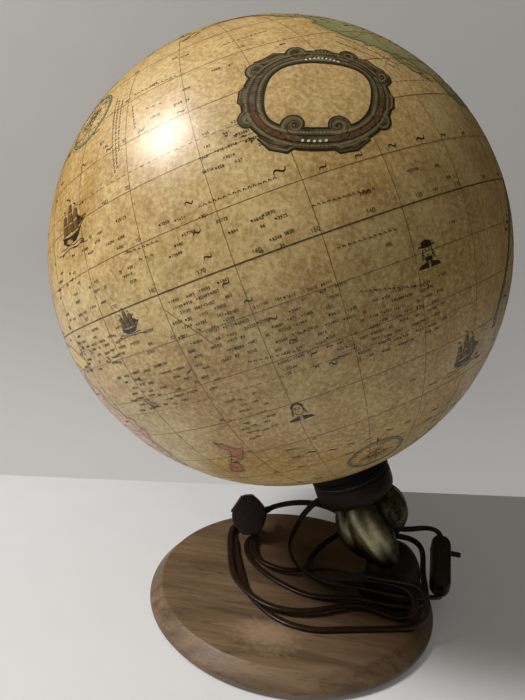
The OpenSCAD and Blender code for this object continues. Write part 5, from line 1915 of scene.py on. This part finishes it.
    def ship(self, lon: float, lat: float, tall: float, tilt: float) -> None:
        """Draws a three-masted ship under sail on a few waves.

        Args:
            lon: its longitude.
            lat: its latitude.
            tall: its height in millimetres.
            tilt: how far it leans, in degrees.
        """
        pad = Pad(lon, lat, tilt, tall)
        self.dark_ink.fill(pad.lay([(-0.42, 0.17), (-0.37, 0.03), (-0.2, -0.05), (0.2, -0.05), (0.33, 0.03),
                                    (0.46, 0.2), (0.3, 0.13), (0, 0.1), (-0.26, 0.14)]))
        for y in (0.03, 0.07):
            self.line_ink.stroke(pad.lay([(-0.33, y), (0, y - 0.02), (0.34, y + 0.03)]), 0.25)
        for x, top, wide in ((-0.25, 0.66, 0.12), (0.0, 0.86, 0.17), (0.24, 0.7, 0.13)):
            self.sails(pad, x, top, wide)
        self.dark_ink.stroke(pad.lay([(0.4, 0.17), (0.62, 0.33)]), 0.3)
        self.dark_ink.fill(pad.lay([(0.58, 0.31), (0.3, 0.5), (0.34, 0.22)]))
        for k, (x0, x1, y) in enumerate(((-0.62, -0.1, -0.07), (-0.1, 0.5, -0.09), (-0.75, 0.2, -0.15),
                                         (0.05, 0.66, -0.17))):
            wave = [(x0 + (x1 - x0) * t, y + 0.016 * math.sin(9 * t + k)) for t in np.linspace(0, 1, 9)]
            self.dark_ink.stroke(pad.lay(wave), 0.3)

    def head(self, lon: float, lat: float, tall: float, hat: bool) -> None:
        """Draws a small plain head and shoulders.

        Args:
            lon: its longitude.
            lat: its latitude.
            tall: its height in millimetres.
            hat: whether it has a brimmed hat and a beard; otherwise it is bare-headed.
        """
        pad = Pad(lon, lat, scale=tall)
        pen, blot = self.dark_ink.stroke, self.dark_ink.fill
        pen(pad.lay(arc(0, 0.55, 0.24, 0, 360, 25, 1.25)), 0.3, closed=True)
        for x in (-0.09, 0.09):
            blot(pad.lay(dot(x, 0.6, 0.028)))
            pen(pad.lay([(x - 0.05, 0.665), (x + 0.05, 0.67)]), 0.22)
        pen(pad.lay([(0.0, 0.6), (0.02, 0.5), (-0.02, 0.49)]), 0.2)
        pen(pad.lay([(-0.06, 0.42), (0.06, 0.42)]), 0.25)
        if hat:
            blot(pad.lay([(-0.27, 0.76), (-0.24, 0.95), (0, 1.02), (0.25, 0.93), (0.27, 0.76)]))
            pen(pad.lay([(-0.42, 0.78), (0, 0.73), (0.42, 0.78)]), 0.7)
            for k in range(11):
                x = -0.2 + 0.04 * k
                pen(pad.lay([(x, 0.37 - 0.3 * abs(x)), (x * 0.7, 0.18)]), 0.32)
        else:
            pen(pad.lay(arc(0, 0.62, 0.27, 10, 170, 15, 1.15)), 0.9)
        for side in (-1, 1):
            for k in range(4):
                pen(pad.lay(arc(side * (0.27 + 0.02 * k), 0.58 - 0.09 * k, 0.06, 90, 90 + side * 230, 7)), 0.34)
            blot(pad.lay([(side * 0.08, 0.16), (side * 0.5, 0.05), (side * 0.58, -0.08), (side * 0.05, -0.1)]))
        pen(pad.lay([(-0.08, 0.2), (0, 0.02), (0.08, 0.2)]), 0.3)

    def pennant(self) -> None:
        """Draws a long blue-green pennant hanging beside the coast, with a curled end."""
        line = drawn(places("-93.7 2 -97 -6 -101.5 -13.5 -105.5 -22 -109.5 -31"))
        wide = 3.4 + 1.1 * np.sin(np.linspace(0, 7, len(line)))
        wide[-4:] = (2.6, 1.9, 1.1, 0.4)
        self.teal_ink.stroke(line, wide)
        for way in (-1, 1):
            self.dark_ink.stroke(line + sideways(line) * (way * (wide / 2 + 0.2) / GLOBE_R)[:, None], 0.35)
        self.teal_ink.stroke(Pad(-108.2, -31.0).lay(curl(90, 1.2, 3.6, 0.8)), 1.1)

    def build(self) -> None:
        """Makes both shells and all the inks, in the order in which they were started."""
        self.shell(True)
        self.shell(False)
        for draw in (self.graticule, self.borders, self.coastlines, self.relief, self.soundings, self.currents,
                     self.frame_ornament):
            draw()
        for spot in ROSES:
            self.rose(*spot)
        for spot in SHIPS:
            self.ship(*spot)
        self.head(-132.2, -12.6, 11.5, hat=True)
        self.head(-164.3, -34.0, 11.0, hat=False)
        self.pennant()
        for layer in vars(self).values():
            if isinstance(layer, Layer):
                layer.build()


# ---- putting it together

def main() -> None:
    """Builds the studio and the cords, then every sub-assembly."""
    logging.basicConfig(level=logging.INFO, format="%(name)s: %(message)s")
    Studio().build()
    on_first = Switch().build()
    on_second = Plug().build()
    Flex().build(on_first, on_second)
    Base().build()
    CastArm().build()
    Neck().build()
    Fittings().build()
    Globe().build()
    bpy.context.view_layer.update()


if __name__ == "__main__":
    main()
